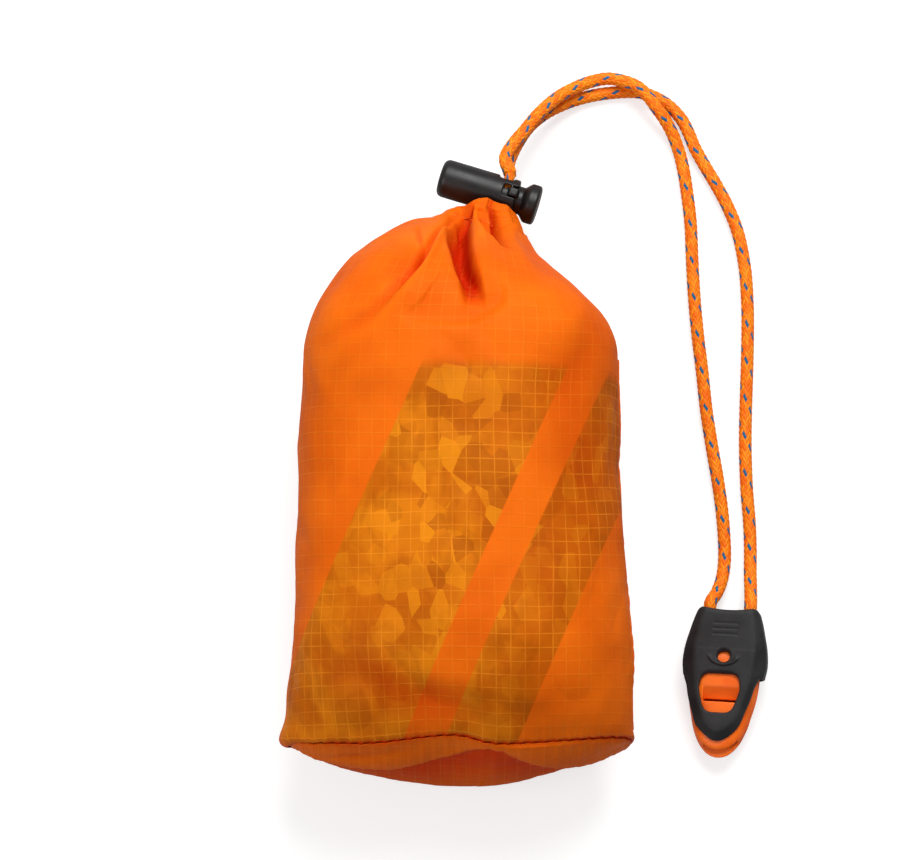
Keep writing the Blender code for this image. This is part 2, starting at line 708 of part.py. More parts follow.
def make_barrel(lock):
    rounding = BARREL_END_ROUNDING
    profile = []
    for k in range(4):
        angle = math.pi / 2 * k / 3
        x = BARREL_CLOSED_END + rounding * (1 - math.sin(angle))
        profile.append((x, BARREL_RADIUS - rounding * (1 - math.cos(angle))))
    profile.reverse()
    profile += [
        (BARREL_RIM - BARREL_LIP, BARREL_RADIUS),
        (BARREL_RIM, BARREL_RADIUS - BARREL_LIP),
        (BARREL_RIM, BORE_RADIUS),
        (BARREL_CLOSED_END + BARREL_END_WALL, BORE_RADIUS),
    ]
    barrel = turned("cord_lock_barrel", profile, BLACK_PLASTIC, lock)
    clamp = CLAMPED_CORD_RADIUS + GAP
    outside = BARREL_RADIUS + BARREL_LIP
    low = (-clamp - BUTTON_TRAVEL / 2, -outside, -slot_half_height())
    high = (clamp, outside, slot_half_height())
    combine(barrel, block("barrel_slot_cutter", low, high, None, lock), "DIFFERENCE")
    window_low = (CATCH_X - BUTTON_TRAVEL - GAP, -CATCH_WIDTH / 2 - GAP, slot_half_height() + GAP)
    window_high = (CATCH_X + CATCH_LENGTH + GAP / 2, CATCH_WIDTH / 2 + GAP, outside)
    combine(barrel, block("barrel_window_cutter", window_low, window_high, None, lock), "DIFFERENCE")


def slot_half_height():
    """Half the height of the slots that take both clamped strands, one above the other."""
    return STRAND_OFFSET + CLAMPED_CORD_RADIUS + GAP


def make_plunger(lock):
    head = BARREL_RIM + BUTTON_HEAD_GAP
    end = head + BUTTON_HEAD_LENGTH
    flange = head + BUTTON_FLARE_LENGTH
    profile = (
        (BUTTON_STEM_START, BUTTON_STEM_RADIUS - BUTTON_EDGE),
        (BUTTON_STEM_START + BUTTON_EDGE, BUTTON_STEM_RADIUS),
        (head, BUTTON_STEM_RADIUS),
        (flange, BUTTON_HEAD_RADIUS - BUTTON_EDGE),
        (flange + BUTTON_EDGE, BUTTON_HEAD_RADIUS),
        (end - BUTTON_EDGE, BUTTON_HEAD_RADIUS),
        (end, BUTTON_HEAD_RADIUS - BUTTON_EDGE),
    )
    plunger = turned("cord_lock_plunger", profile, BLACK_PLASTIC, lock)
    inner = CLAMPED_CORD_RADIUS + GAP
    low = (-inner, -BUTTON_HEAD_RADIUS, -slot_half_height())
    high = (inner + BUTTON_TRAVEL, BUTTON_HEAD_RADIUS, slot_half_height())
    combine(plunger, block("plunger_slot_cutter", low, high, None, lock), "DIFFERENCE")
    catch_low = (CATCH_X, -CATCH_WIDTH / 2, slot_half_height() + GAP)
    catch_high = (CATCH_X + CATCH_LENGTH, CATCH_WIDTH / 2, CATCH_HEIGHT)
    catch = block("plunger_catch_adder", catch_low, catch_high, None, lock)
    combine(plunger, catch, "UNION")


def make_spring():
    """The helical spring between the barrel's closed end and the plunger."""
    start = BARREL_CLOSED_END + BARREL_END_WALL + SPRING_WIRE_RADIUS + GAP
    end = BUTTON_STEM_START - SPRING_WIRE_RADIUS - GAP
    steps = round(SPRING_TURNS * SPRING_TURN_POINTS)
    points = []
    for k in range(steps + 1):
        angle = 2 * math.pi * SPRING_TURNS * k / steps
        along = LOCK_ALONG * (start + (end - start) * k / steps)
        round_it = LOCK_ACROSS * (SPRING_RADIUS * math.cos(angle)) + UP * (SPRING_RADIUS * math.sin(angle))
        points.append(LOCK_HOLE + along + round_it)
    radii = [SPRING_WIRE_RADIUS] * len(points)
    cord_tube("cord_lock_spring", points, radii, SPRING_WIRE_RADIUS, SPRING_STEEL, resolution=1)


# Whistle


def oval_ring(y, half_width, half_height, squareness, count=28):
    ring = []
    for k in range(count):
        angle = 2 * math.pi * (k + 0.5) / count
        x = half_width * signed_power(math.cos(angle), 2 / squareness)
        z = half_height * signed_power(math.sin(angle), 2 / squareness)
        ring.append(Vector((x, y, z)))
    return ring


def outline_ring(shape, z, count=13):
    """A closed outline at height z, the same on both sides, from its (y, half width) points."""
    first = shape[0][0]
    last = shape[-1][0]
    right = []
    for k in range(count):
        y = first + (last - first) * math.sin(math.pi / 2 * k / (count - 1))
        right.append((shape_at(shape, y), y))
    left = [(-x, y) for x, y in reversed(right)]
    return [Vector((x, y, z)) for x, y in right + left]


def whistle_body_rings(grow, setback=0.0):
    """The whistle's inner body: grown by a clearance where its cover is cut to fit it, or with its tip set back."""
    rings = []
    first = BODY_SHAPE[0][0]
    last = BODY_SHAPE[-1][0]
    for k in range(BODY_RING_SPANS + 1):
        y = first + (last - first) * math.sin(math.pi / 2 * k / BODY_RING_SPANS)
        ease = max(0.0, (BODY_TAPER_START - y) / (BODY_TAPER_START - last)) ** 2
        half_width = shape_at(BODY_SHAPE, y)
        half_height = BODY_HALF_HEIGHT + (BODY_TIP_HALF_HEIGHT - BODY_HALF_HEIGHT) * ease
        half_height = min(half_height, half_width + BODY_TIP_ROUNDING)
        place = y + setback * ((first - y) / (first - last)) ** 2
        if k == 0:
            half_height -= COVER_ROUNDING
            place += grow
        rings.append(oval_ring(place, half_width + grow, half_height + grow, BODY_OVAL))
    return rings


def cover_rings():
    """The outside of the cover's sleeve, from its rounded cord end down to its open end."""
    rings = []
    for k in range(COVER_ROUNDING_SPANS):
        turn = math.pi / 2 * k / COVER_ROUNDING_SPANS
        y = -COVER_ROUNDING * (1 - math.cos(turn))
        inset = COVER_ROUNDING * (1 - math.sin(turn))
        half_width = shape_at(COVER_SHAPE, y) - inset
        rings.append(oval_ring(y, half_width, COVER_HALF_HEIGHT - inset, COVER_SQUARENESS))
    for k in range(COVER_SPANS + 1):
        y = -COVER_ROUNDING + (COVER_SHAPE[-1][0] + COVER_ROUNDING) * k / COVER_SPANS
        rings.append(oval_ring(y, shape_at(COVER_SHAPE, y), COVER_HALF_HEIGHT, COVER_SQUARENESS))
    return rings


def disc(middle_x, middle_y, radius, z):
    """A ring of points for a round hole along Z."""
    turns = [2 * math.pi * k / HOLE_POINTS for k in range(HOLE_POINTS)]
    return [Vector((middle_x + radius * math.cos(a), middle_y + radius * math.sin(a), z)) for a in turns]


def make_cover(whistle):
    cover = loft("whistle_cover", cover_rings(), BLACK_RUBBER, whistle)
    tongue = [
        outline_ring(TONGUE_SHAPE, TONGUE_ROOT_Z),
        outline_ring(TONGUE_SHAPE, TONGUE_EDGE_Z),
        outline_ring(PLATEAU_SHAPE, COVER_HALF_HEIGHT - GAP / 2),
    ]
    combine(cover, loft("tongue_adder", tongue, None, whistle), "UNION")
    combine(cover, loft("body_clearance_cutter", whistle_body_rings(GAP), None, whistle), "DIFFERENCE")
    above = COVER_HALF_HEIGHT * 1.5
    window = [outline_ring(WINDOW_SHAPE, z, count=5) for z in (0.0, above)]
    combine(cover, loft("window_cutter", window, None, whistle), "DIFFERENCE")
    hole = [disc(0.0, AIR_HOLE_Y, AIR_HOLE_RADIUS, z) for z in (BODY_HALF_HEIGHT / 2, above)]
    combine(cover, loft("air_hole_cutter", hole, None, whistle), "DIFFERENCE")
    pocket = []
    for y in (-COVER_END_WALL, POCKET_END - COVER_ROUNDING):
        pocket.append(oval_ring(y, POCKET_HALF_WIDTH, POCKET_HALF_HEIGHT, POCKET_SQUARENESS))
    combine(cover, loft("knot_pocket_cutter", pocket, None, whistle), "DIFFERENCE")
    for side in (-1, 1):
        radius = CORD_RADIUS + CORD_HOLE_CLEARANCE
        bore = []
        for y in (-COVER_END_WALL - GAP, COVER_END_WALL):
            flat = disc(side * CORD_HOLE_SPACING / 2, 0.0, radius, y)
            bore.append([Vector((p.x, p.z, p.y)) for p in flat])
        name = "left_bore_cutter" if side < 0 else "right_bore_cutter"
        combine(cover, loft(name, bore, None, whistle), "DIFFERENCE")


def make_upper_shell(whistle):
    """The roof of the whistle, with the window, the sharp edge in it and the windway's upper side."""
    rings = whistle_body_rings(0.0, UPPER_SHELL_SETBACK)
    shell = loft("whistle_upper_shell", rings, ORANGE_PLASTIC, whistle)
    far = -2 * BODY_SHAPE[-1][0]
    below = block(
        "upper_limit_cutter", (-far, -far, -far), (far, far, SHELL_SPLIT_Z + GAP / 2), None, whistle
    )
    combine(shell, below, "DIFFERENCE")
    profile = (
        (LABIUM_TOP_Y, far), (LABIUM_TOP_Y, BODY_HALF_HEIGHT), (LABIUM_EDGE_Y, LABIUM_EDGE_Z),
        (LABIUM_EDGE_Y, -GAP), (WINDWAY_END, -GAP), (WINDWAY_END, far),
    )
    half = shape_at(WINDOW_SHAPE, LABIUM_EDGE_Y)
    sides = [[Vector((x, y, z)) for y, z in profile] for x in (-half, half)]
    combine(shell, loft("window_ramp_cutter", sides, None, whistle), "DIFFERENCE")
    low = (-WINDWAY_HALF_WIDTH, -far, -GAP)
    high = (WINDWAY_HALF_WIDTH, WINDWAY_END + GAP, SHELL_SPLIT_Z + WINDWAY_HEIGHT)
    combine(shell, block("windway_cutter", low, high, None, whistle), "DIFFERENCE")


def make_lower_shell(whistle):
    """The tray of the whistle, with the resonance chamber and the block that carries the windway."""
    shell = loft("whistle_lower_shell", whistle_body_rings(0.0), ORANGE_PLASTIC, whistle)
    far = -2 * BODY_SHAPE[-1][0]
    above = block(
        "lower_limit_cutter", (-far, -far, SHELL_SPLIT_Z - GAP / 2), (far, far, far), None, whistle
    )
    combine(shell, above, "DIFFERENCE")
    low = (-CHAMBER_HALF_WIDTH, CHAMBER_START, CHAMBER_FLOOR_Z)
    high = (CHAMBER_HALF_WIDTH, CHAMBER_END, SHELL_SPLIT_Z + GAP)
    combine(shell, block("chamber_cutter", low, high, None, whistle), "DIFFERENCE")


def make_knots(whistle):
    for side, name in ((-1, "cord_knot_left"), (1, "cord_knot_right")):
        middle_y = -COVER_END_WALL - GAP - KNOT_RADIUS
        rings = []
        for k in range(KNOT_SPANS):
            turn = math.pi * (k + 0.5) / KNOT_SPANS
            radius = KNOT_RADIUS * math.sin(turn)
            y = middle_y + KNOT_RADIUS * math.cos(turn)
            ring = oval_ring(y, radius, radius, 2.0, 12)
            rings.append([p + Vector((side * CORD_HOLE_SPACING / 2, 0, 0)) for p in ring])
        loft(name, rings, CORD, whistle)


def whistle_height():
    """The height of the whistle's middle at which its rolled cover just rests on the floor."""
    matrix = whistle_matrix(0.0)
    lowest = 0.0
    for y, half_width in COVER_SHAPE:
        for p in oval_ring(y, half_width, COVER_HALF_HEIGHT, COVER_SQUARENESS, 112):
            lowest = min(lowest, (matrix @ p).z)
    return -lowest


def main():
    clear_scene()
    make_sack_body()
    make_bottom_seam()
    make_bottom_panel()
    make_side_seam()
    make_sleeping_bag_roll()
    make_channel()
    make_channel_loop()
    turn = Matrix.Rotation(-LOCK_YAW, 3, "Z")
    lock = frame_empty("cord_lock_frame", LOCK_HOLE, turn)
    make_barrel(lock)
    make_plunger(lock)
    make_spring()
    matrix = whistle_matrix(whistle_height())
    whistle = frame_empty("whistle_frame", matrix.to_translation(), matrix.to_3x3())
    make_cover(whistle)
    make_upper_shell(whistle)
    make_lower_shell(whistle)
    make_knots(whistle)
    make_strand("drawcord_strand_left", LEFT_ROUTE, 1, matrix)
    make_strand("drawcord_strand_right", RIGHT_ROUTE, -1, matrix)


main()
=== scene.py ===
"""The looks of the emergency sleeping bag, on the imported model: the stuff sack's cloth, the
braided drawcord, the cord lock, the whistle, and the rolled bag inside."""

import json
import math

import bmesh
import bpy
import numpy as np
from mathutils import Matrix, Vector

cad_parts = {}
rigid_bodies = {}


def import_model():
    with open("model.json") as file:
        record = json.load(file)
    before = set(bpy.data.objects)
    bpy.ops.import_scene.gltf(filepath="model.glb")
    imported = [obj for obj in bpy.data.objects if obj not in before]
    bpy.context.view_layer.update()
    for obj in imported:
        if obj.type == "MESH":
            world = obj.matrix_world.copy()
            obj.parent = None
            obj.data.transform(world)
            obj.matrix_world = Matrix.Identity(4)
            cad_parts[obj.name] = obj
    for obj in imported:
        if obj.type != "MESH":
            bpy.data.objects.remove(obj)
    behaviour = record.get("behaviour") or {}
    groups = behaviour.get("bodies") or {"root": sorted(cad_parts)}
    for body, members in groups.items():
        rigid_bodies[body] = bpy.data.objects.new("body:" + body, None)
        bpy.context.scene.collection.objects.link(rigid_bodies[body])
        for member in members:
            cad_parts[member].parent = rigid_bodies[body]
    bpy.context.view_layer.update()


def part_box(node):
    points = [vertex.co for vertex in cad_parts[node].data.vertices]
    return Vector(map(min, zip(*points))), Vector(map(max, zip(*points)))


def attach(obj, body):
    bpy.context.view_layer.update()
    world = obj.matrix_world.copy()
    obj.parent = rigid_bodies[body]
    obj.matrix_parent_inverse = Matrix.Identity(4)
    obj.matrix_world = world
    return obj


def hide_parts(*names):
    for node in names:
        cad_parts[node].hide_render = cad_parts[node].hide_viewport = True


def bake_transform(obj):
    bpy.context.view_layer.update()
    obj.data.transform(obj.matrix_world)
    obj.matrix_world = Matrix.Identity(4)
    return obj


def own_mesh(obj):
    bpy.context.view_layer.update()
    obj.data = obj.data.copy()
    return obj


for old in list(bpy.data.objects):
    bpy.data.objects.remove(old, do_unlink=True)
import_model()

MM = 0.001
GAP = 0.0003

# Where the lock holds the cords, as in the model's source
LOCK_YAW = math.radians(17.3)
LOCK_HOLE = np.array((0.01033, 0.0846, 0.014))
UP = np.array((0.0, 0.0, 1.0))
LOCK_ALONG = np.array((math.cos(LOCK_YAW), -math.sin(LOCK_YAW), 0.0))
LOCK_ACROSS = np.array((math.sin(LOCK_YAW), math.cos(LOCK_YAW), 0.0))
BARREL_RADIUS = 0.00455
CLAMPED_CORD_RADIUS = 0.0012
STRAND_OFFSET = CLAMPED_CORD_RADIUS + GAP / 2
CHANNEL_TOP = LOCK_HOLE - LOCK_ACROSS * (BARREL_RADIUS + GAP)

# Drawcord
CORD_RADIUS = 0.00155
STRAND_ON_FLOOR = 1.6
CORD_SQUEEZE_LENGTH = 0.0005
BRAID_PITCH = 0.0180
BRAID_CARRIERS = 12
BRAID_RELIEF = 0.00020
BRAID_ROUND = 84
BRAID_TURN = 0.125
BRAID_STEP = 0.00020

# The free strands, point by point in millimetres from the lock to the whistle. A point without a
# height lies on the floor.
LEFT_ROUTE = (
    (10.9, 92.2, 15.1), (10.9, 94.3, 14.4), (12.5, 97.3, 13.3), (15.3, 101, 12), (18.6, 105.6, 9.8),
    (23.1, 110.3, 7.6), (27.7, 113.5, 5.5), (31.6, 115.4, 4.2), (35.7, 116.2, 4),
    (39.6, 115.3, 4.7), (42.7, 113.8, 5.2), (45.4, 111.2, 5.2), (47.3, 108.5, 4.8),
    (49.1, 106.2, 4), (50.8, 103.4, 2.9), (52.1, 100.3, 2), (53.2, 96.6), (54.2, 90.7),
    (55.2, 81.4), (55.5, 72), (55.9, 62.7), (56.6, 53.7), (57.5, 45.2), (58.4, 35.5), (59.6, 26.8),
    (60.8, 19.1), (61.7, 12), (62.2, 5), (62.2, -0.6, 1.7), (61.5, -5, 2.4), (60.2, -8.4, 3.4),
)
RIGHT_ROUTE = (
    (11.5, 91.8, 11.8), (12, 94.5, 10.7), (13.8, 98.7, 9.2), (16.7, 103.4, 7.3), (20.5, 107.1, 5.4),
    (24.3, 109.6, 3.7), (27.7, 111.3, 2.4), (31.4, 112.5, 1.7), (35.2, 113.2), (39.6, 113.6),
    (43, 113.5), (46.2, 112.6), (49.2, 111), (51.5, 109), (53.5, 106.5), (54.9, 103.7),
    (56.6, 99.4), (59.2, 94.5), (61.8, 89.9), (64.3, 84.8), (66.5, 78.7), (68, 70.5), (68.5, 62.2),
    (68.5, 54.9), (68.2, 45.7), (67.7, 34.4), (67.5, 25.2), (67.7, 16.3), (68.2, 8.5),
    (68.3, 2, 1.9), (68.1, -3.5, 3.1), (68, -8.2, 4.9),
)

# Where the whistle lies and where the cord enters it
WHISTLE_X = 0.0631
WHISTLE_Y = -0.0127
WHISTLE_YAW = math.radians(-4.75)
WHISTLE_ROLL = math.radians(-11.0)
COVER_END_WALL = 0.0022
CORD_HOLE_SPACING = 0.0094
CORD_CLEARANCE = 0.00025
CORD_BORE_END = -0.0045
ENTRY_RUN = 0.0026


# Small helpers


def unit(value):
    """The value, held between 0 and 1."""
    return np.clip(value, 0, 1)


def bell(value):
    """1 where the value is 0, falling softly to 0 on both sides."""
    return np.exp(-value ** 2)


def smooth_step(share):
    return share * share * (3 - 2 * share)


def declared(piece, node, body=None):
    """Hides the node that the piece replaces and, if a body is given, attaches the piece to it."""
    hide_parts(node)
    if body:
        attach(piece, body)
    return piece


# Shader fields


def linear(red, green, blue):
    """A colour as a screen shows it, 0 to 255, as the linear colour that shaders take."""
    def one(value):
        value /= 255
        return value / 12.92 if value <= 0.04045 else ((value + 0.055) / 1.055) ** 2.4
    return (one(red), one(green), one(blue), 1.0)


def feed(tree, slot, value):
    if isinstance(value, Field):
        tree.links.new(value.socket, slot)
    else:
        slot.default_value = value


def node_field(tree, kind, values=(), output=0, **settings):
    """An output of a new shader node, whose inputs take the (name or number, value) pairs."""
    node = tree.nodes.new("ShaderNode" + kind)
    for name, setting in settings.items():
        setattr(node, name, setting)
    for slot, value in values:
        feed(tree, node.inputs[slot], value)
    return Field(tree, node.outputs[output])


def operation(name, *fixed):
    """A method of Field that makes a Math node. The fixed values come after the given ones."""
    def method(self, *others):
        return node_field(self.tree, "Math", enumerate((self, *others, *fixed)), operation=name)
    return method


class Field:
    """A number or colour that varies over a surface, made by shader nodes."""

    __add__, __sub__ = operation("ADD"), operation("SUBTRACT")
    __mul__, __truediv__ = operation("MULTIPLY"), operation("DIVIDE")
    floor, part, size = operation("FLOOR"), operation("FRACT"), operation("ABSOLUTE")
    sine, most, below = operation("SINE"), operation("MAXIMUM"), operation("LESS_THAN")
    wrapped = operation("WRAP", 0.0)

    def __init__(self, tree, socket):
        self.tree = tree
        self.socket = socket

    def ease(self, low, high, to_low=0.0, to_high=1.0):
        """Runs smoothly from to_low to to_high as the field goes from low to high."""
        values = enumerate((self, low, high, to_low, to_high))
        return node_field(self.tree, "MapRange", values, interpolation_type="SMOOTHSTEP")

    def mix(self, low, high):
        """A colour that goes from low, where this field is 0, to high, where it is 1."""
        values = ((0, self), (6, low), (7, high))
        return node_field(self.tree, "Mix", values, 2, data_type="RGBA")

    def between(self, low, high):
        """A colour from low to high over the range of values that noise mostly covers."""
        return self.ease(*NOISE_RANGE).mix(low, high)


NOISE_RANGE = (0.35, 0.65)


class Finish:
    """A material under construction, with its Principled shader."""

    def __init__(self, name, roughness=0.5, metallic=0.0):
        self.material = bpy.data.materials.new(name)
        self.material.use_nodes = True
        self.tree = self.material.node_tree
        self.shader = self.tree.nodes["Principled BSDF"]
        self.shader.inputs["Roughness"].default_value = roughness
        self.shader.inputs["Metallic"].default_value = metallic

    def set(self, **sockets):
        """Sets uniform values of the shader, such as coat_weight=0.2."""
        for name, value in sockets.items():
            label = name.replace("_", " ").title().replace("Ior", "IOR")
            self.shader.inputs[label].default_value = value

    def place(self):
        """The position on the object, in metres."""
        return node_field(self.tree, "TexCoord", output="Object")

    def cloth(self, name):
        """Both coordinates of the named UV layer."""
        return self.split(node_field(self.tree, "UVMap", output="UV", uv_map=name))

    def split(self, vector):
        first = node_field(self.tree, "SeparateXYZ", ((0, vector),))
        return [Field(self.tree, out) for out in first.socket.node.outputs]

    def join(self, x, y, z=0.0):
        return node_field(self.tree, "CombineXYZ", enumerate((x, y, z)))

    def noise(self, vector, size, detail=2.0, distortion=0.0):
        """Noise about 0.5, with bumps about size across, in metres."""
        values = {"Vector": vector, "Scale": 1 / size, "Detail": detail, "Distortion": distortion}
        return node_field(self.tree, "TexNoise", values.items(), "Fac")

    def cells(self, vector, size, feature="F1", output="Distance"):
        """A pattern of cells about size across, in metres."""
        values = {"Vector": vector, "Scale": 1 / size}
        return node_field(self.tree, "TexVoronoi", values.items(), output, feature=feature)

    def colour(self, field):
        feed(self.tree, self.shader.inputs["Base Color"], field)

    def roughness(self, field):
        feed(self.tree, self.shader.inputs["Roughness"], field)

    def bump(self, height, distance, strength=1.0):
        """Raises the surface by height, a field from 0 to 1, times distance in metres."""
        values = {"Strength": strength, "Distance": distance, "Height": height}
        normal = node_field(self.tree, "Bump", values.items())
        feed(self.tree, self.shader.inputs["Normal"], normal)


# Meshes


def mesh_of(name, points, faces):
    mesh = bpy.data.meshes.new(name)
    mesh.from_pydata(points, [], faces)
    return mesh


def skin(name, grid, finish, uv=None, layer="cloth", closed=False, caps="", depth=None):
    """A mesh over rows of points that each run right round.

    closed joins the last row to the first. caps is "last" or "both" where those ends are filled.
    depth is a share of painted shade for each point that its material may read from the UV layer
    "depth".
    """
    rows, count = grid.shape[:2]
    i, k = np.meshgrid(np.arange(rows if closed else rows - 1), np.arange(count), indexing="ij")
    after, above = (k + 1) % count, (i + 1) % rows
    here, over = i * count, above * count
    quads = np.stack([here + k, here + after, over + after, over + k], -1)
    faces = quads.reshape(-1, 4).tolist()
    if caps == "both":
        faces.append(list(range(count))[::-1])
    if caps:
        faces.append(list(range((rows - 1) * count, rows * count)))
    mesh = mesh_of(name, grid.reshape(-1, 3).tolist(), faces)
    layers = {}
    if uv is not None:
        layers[layer] = uv
    if depth is not None:
        closed_depth = np.concatenate([depth, depth[:, :1]], axis=1)
        layers["depth"] = np.stack([closed_depth, np.zeros_like(closed_depth)], -1)
    for label, value in layers.items():
        corners = [value[i, k], value[i, k + 1], value[i + 1, k + 1], value[i + 1, k]]
        corners = np.stack(corners, 2).reshape(-1, 2)
        values = np.zeros((len(mesh.loops), 2))
        values[:len(corners)] = corners
        mesh.uv_layers.new(name=label).data.foreach_set("uv", values.ravel())
    return placed(name, mesh, finish)


def placed(name, mesh, finish, outward=True):
    """The mesh as an object with its material. outward turns its faces outwards."""
    if outward:
        work = bmesh.new()
        work.from_mesh(mesh)
        bmesh.ops.recalc_face_normals(work, faces=work.faces)
        work.to_mesh(mesh)
        work.free()
    mesh.shade_smooth()
    mesh.materials.append(finish.material)
    return in_scene(name, mesh)


def in_scene(name, data):
    made = bpy.data.objects.new(name, data)
    bpy.context.scene.collection.objects.link(made)
    return made


def lattice_noise(points, size, seed):
    """Smooth noise from -1 to 1 at points, with bumps about size across."""
    values = np.random.default_rng(seed).uniform(-1, 1, (32, 32, 32))
    cell = np.floor(points / size).astype(int)
    share = smooth_step(points / size - cell)
    total = 0.0
    for corner in np.ndindex(2, 2, 2):
        weight = np.prod(np.where(corner, share, 1 - share), axis=-1)
        index = (cell + corner) % 32
        total = total + weight * values[index[..., 0], index[..., 1], index[..., 2]]
    return total


def reach_along(line):
    """How far along a line each of its points lies."""
    return np.concatenate([[0.0], np.cumsum(np.linalg.norm(np.diff(line, axis=0), axis=1))])


def smooth_line(route, step):
    """Points at even steps along a smooth curve through the route's points."""
    route = np.array(route)
    ends = np.vstack([route[0] * 2 - route[1], route, route[-1] * 2 - route[-2]])
    fine = []
    for before, here, after, beyond in zip(ends, ends[1:], ends[2:], ends[3:]):
        for t in np.arange(0, 1, 1 / 64):
            fine.append(
                here
                + (after - before) * (t / 2)
                + (before * 2 - here * 5 + after * 4 - beyond) * (t * t / 2)
                + (here * 3 - before - after * 3 + beyond) * (t * t * t / 2)
            )
    fine = np.array([*fine, route[-1]])
    reach = reach_along(fine)
    at = np.linspace(0, reach[-1], max(3, round(reach[-1] / step) + 1))
    return np.stack([np.interp(at, reach, fine[:, k]) for k in range(3)], axis=1), at


def frames_along(line, closed=False):
    """Two directions across the line at each of its points, turning as little as they can."""
    if closed:
        ahead = np.roll(line, -1, axis=0) - np.roll(line, 1, axis=0)
    else:
        ahead = np.gradient(line, axis=0)
    ahead /= np.linalg.norm(ahead, axis=1)[:, None]
    side = np.cross(ahead[0], UP if abs(ahead[0][2]) < 0.9 else LOCK_ALONG)
    sides = []
    for way in ahead:
        side = side - way * (side @ way)
        side = side / np.linalg.norm(side)
        sides.append(side)
    sides = np.array(sides)
    return sides, np.cross(ahead, sides)


def tube(line, radii, count, closed=False, turned=0.0):
    """Rings of count points round a line, with a radius for each ring or each point."""
    sides, ups = frames_along(line, closed)
    turn = 2 * np.pi * (np.arange(count) / count + turned)
    ways = sides[:, None] * np.cos(turn)[:, None] + ups[:, None] * np.sin(turn)[:, None]
    return line[:, None] + ways * radii[..., None]


# Camera, light and floor

TARGET = Vector((-0.0023, 0.0310, 0.0))
ELEVATION = math.radians(79)
DISTANCE = 0.9
VIEW_WIDTH = 0.2133
SENSOR_WIDTH = 36.0


def make_camera():
    camera = in_scene("camera", bpy.data.cameras.new("camera"))
    camera.data.sensor_width = SENSOR_WIDTH
    camera.data.lens = SENSOR_WIDTH * DISTANCE / VIEW_WIDTH
    back = Vector((0, -math.cos(ELEVATION), math.sin(ELEVATION)))
    camera.location = TARGET + back * DISTANCE
    camera.rotation_mode = "QUATERNION"
    camera.rotation_quaternion = (-back).to_track_quat("-Z", "Y")
    camera.data.clip_start = 0.01
    bpy.context.scene.camera = camera


def area_light(name, place, target, size, power):
    lamp = bpy.data.lights.new(name, "AREA")
    lamp.shape = "DISK"
    lamp.size = size
    lamp.energy = power
    light = in_scene(name, lamp)
    light.location = place
    light.rotation_mode = "QUATERNION"
    light.rotation_quaternion = (Vector(target) - Vector(place)).to_track_quat("-Z", "Y")


def seen_directly(tree):
    """1 where the camera sees a thing itself or through glass, 0 for the light that it gives."""
    path = tree.nodes.new("ShaderNodeLightPath")
    seen = [Field(tree, path.outputs[name]) for name in ("Is Camera Ray", "Is Transmission Ray")]
    return seen[0].most(seen[1])


def make_stage():
    world = bpy.context.scene.world or bpy.data.worlds.new("World")
    bpy.context.scene.world = world
    world.use_nodes = True
    tree = world.node_tree
    background = tree.nodes["Background"]
    feed(tree, background.inputs["Color"], WHITE)
    around = node_field(tree, "TexCoord", output="Generated")
    along_y = node_field(tree, "SeparateXYZ", ((0, around),), 1)
    light = (along_y * WORLD_LEAN + 1.0) * WORLD_LIGHT
    feed(tree, background.inputs["Strength"], light.most(seen_directly(tree)))

    finish = Finish("floor", roughness=1.0)
    finish.set(base_color=FLOOR_COLOUR, specular_ior_level=0.0, emission_color=WHITE)
    glow = seen_directly(finish.tree) * FLOOR_GLOW
    feed(finish.tree, finish.shader.inputs["Emission Strength"], glow)
    square = ((-1, -1), (1, -1), (1, 1), (-1, 1))
    corners = [(x * FLOOR_SIZE, y * FLOOR_SIZE, FLOOR_LEVEL) for x, y in square]
    floor = placed("floor", mesh_of("floor", corners, [(0, 1, 2, 3)]), finish, outward=False)

    area_light("key_light", (0.14, 0.58, 0.78), (0.0, 0.03, 0.0), 0.6, 8.6)
    area_light("fill_light", (-0.55, -0.30, 0.75), (0.0, 0.0, 0.0), 0.7, 3.2)


WORLD_LIGHT = 0.31
WORLD_LEAN = 0.30
FLOOR_COLOUR = (0.5, 0.5, 0.5, 1.0)
FLOOR_GLOW = 0.64
FLOOR_SIZE = 3.0
FLOOR_LEVEL = -0.00005
WHITE = (1.0, 1.0, 1.0, 1.0)

make_camera()
make_stage()


# Drawcord


def braid_height(around, along):
    """Relief of a two-over-two braid, 0 in its crevices to 1 on its crowns."""
    a = BRAID_CARRIERS * (around + along)
    b = BRAID_CARRIERS * (around - along)
    phase = np.mod(np.floor(a) + np.floor(b), 4)
    part_a, part_b = a - np.floor(a), b - np.floor(b)
    first_on_top = phase < 2
    across = np.where(first_on_top, part_a, part_b)
    run = np.where(first_on_top, (phase + part_b) / 2, (phase - 2 + part_a) / 2)
    crown = np.sqrt(unit(1 - (2 * across - 1) ** 2))
    return crown * (0.3 + 0.7 * np.sin(np.pi * run) ** 0.7)


def braided_cord(name, line, reach, radii, finish):
    """A braided tube, with the braid's own relief and its UV layer counted in turns and pitches."""
    around = np.arange(BRAID_ROUND + 1) / BRAID_ROUND
    along = reach[:, None] / BRAID_PITCH
    relief = braid_height(around[:-1], along) - 1
    grid = tube(line, radii[:, None] + BRAID_RELIEF * relief, BRAID_ROUND, turned=BRAID_TURN)
    uv = np.stack(np.broadcast_arrays(around, along), -1)
    return skin(name, grid, finish, uv, "braid", caps="both")


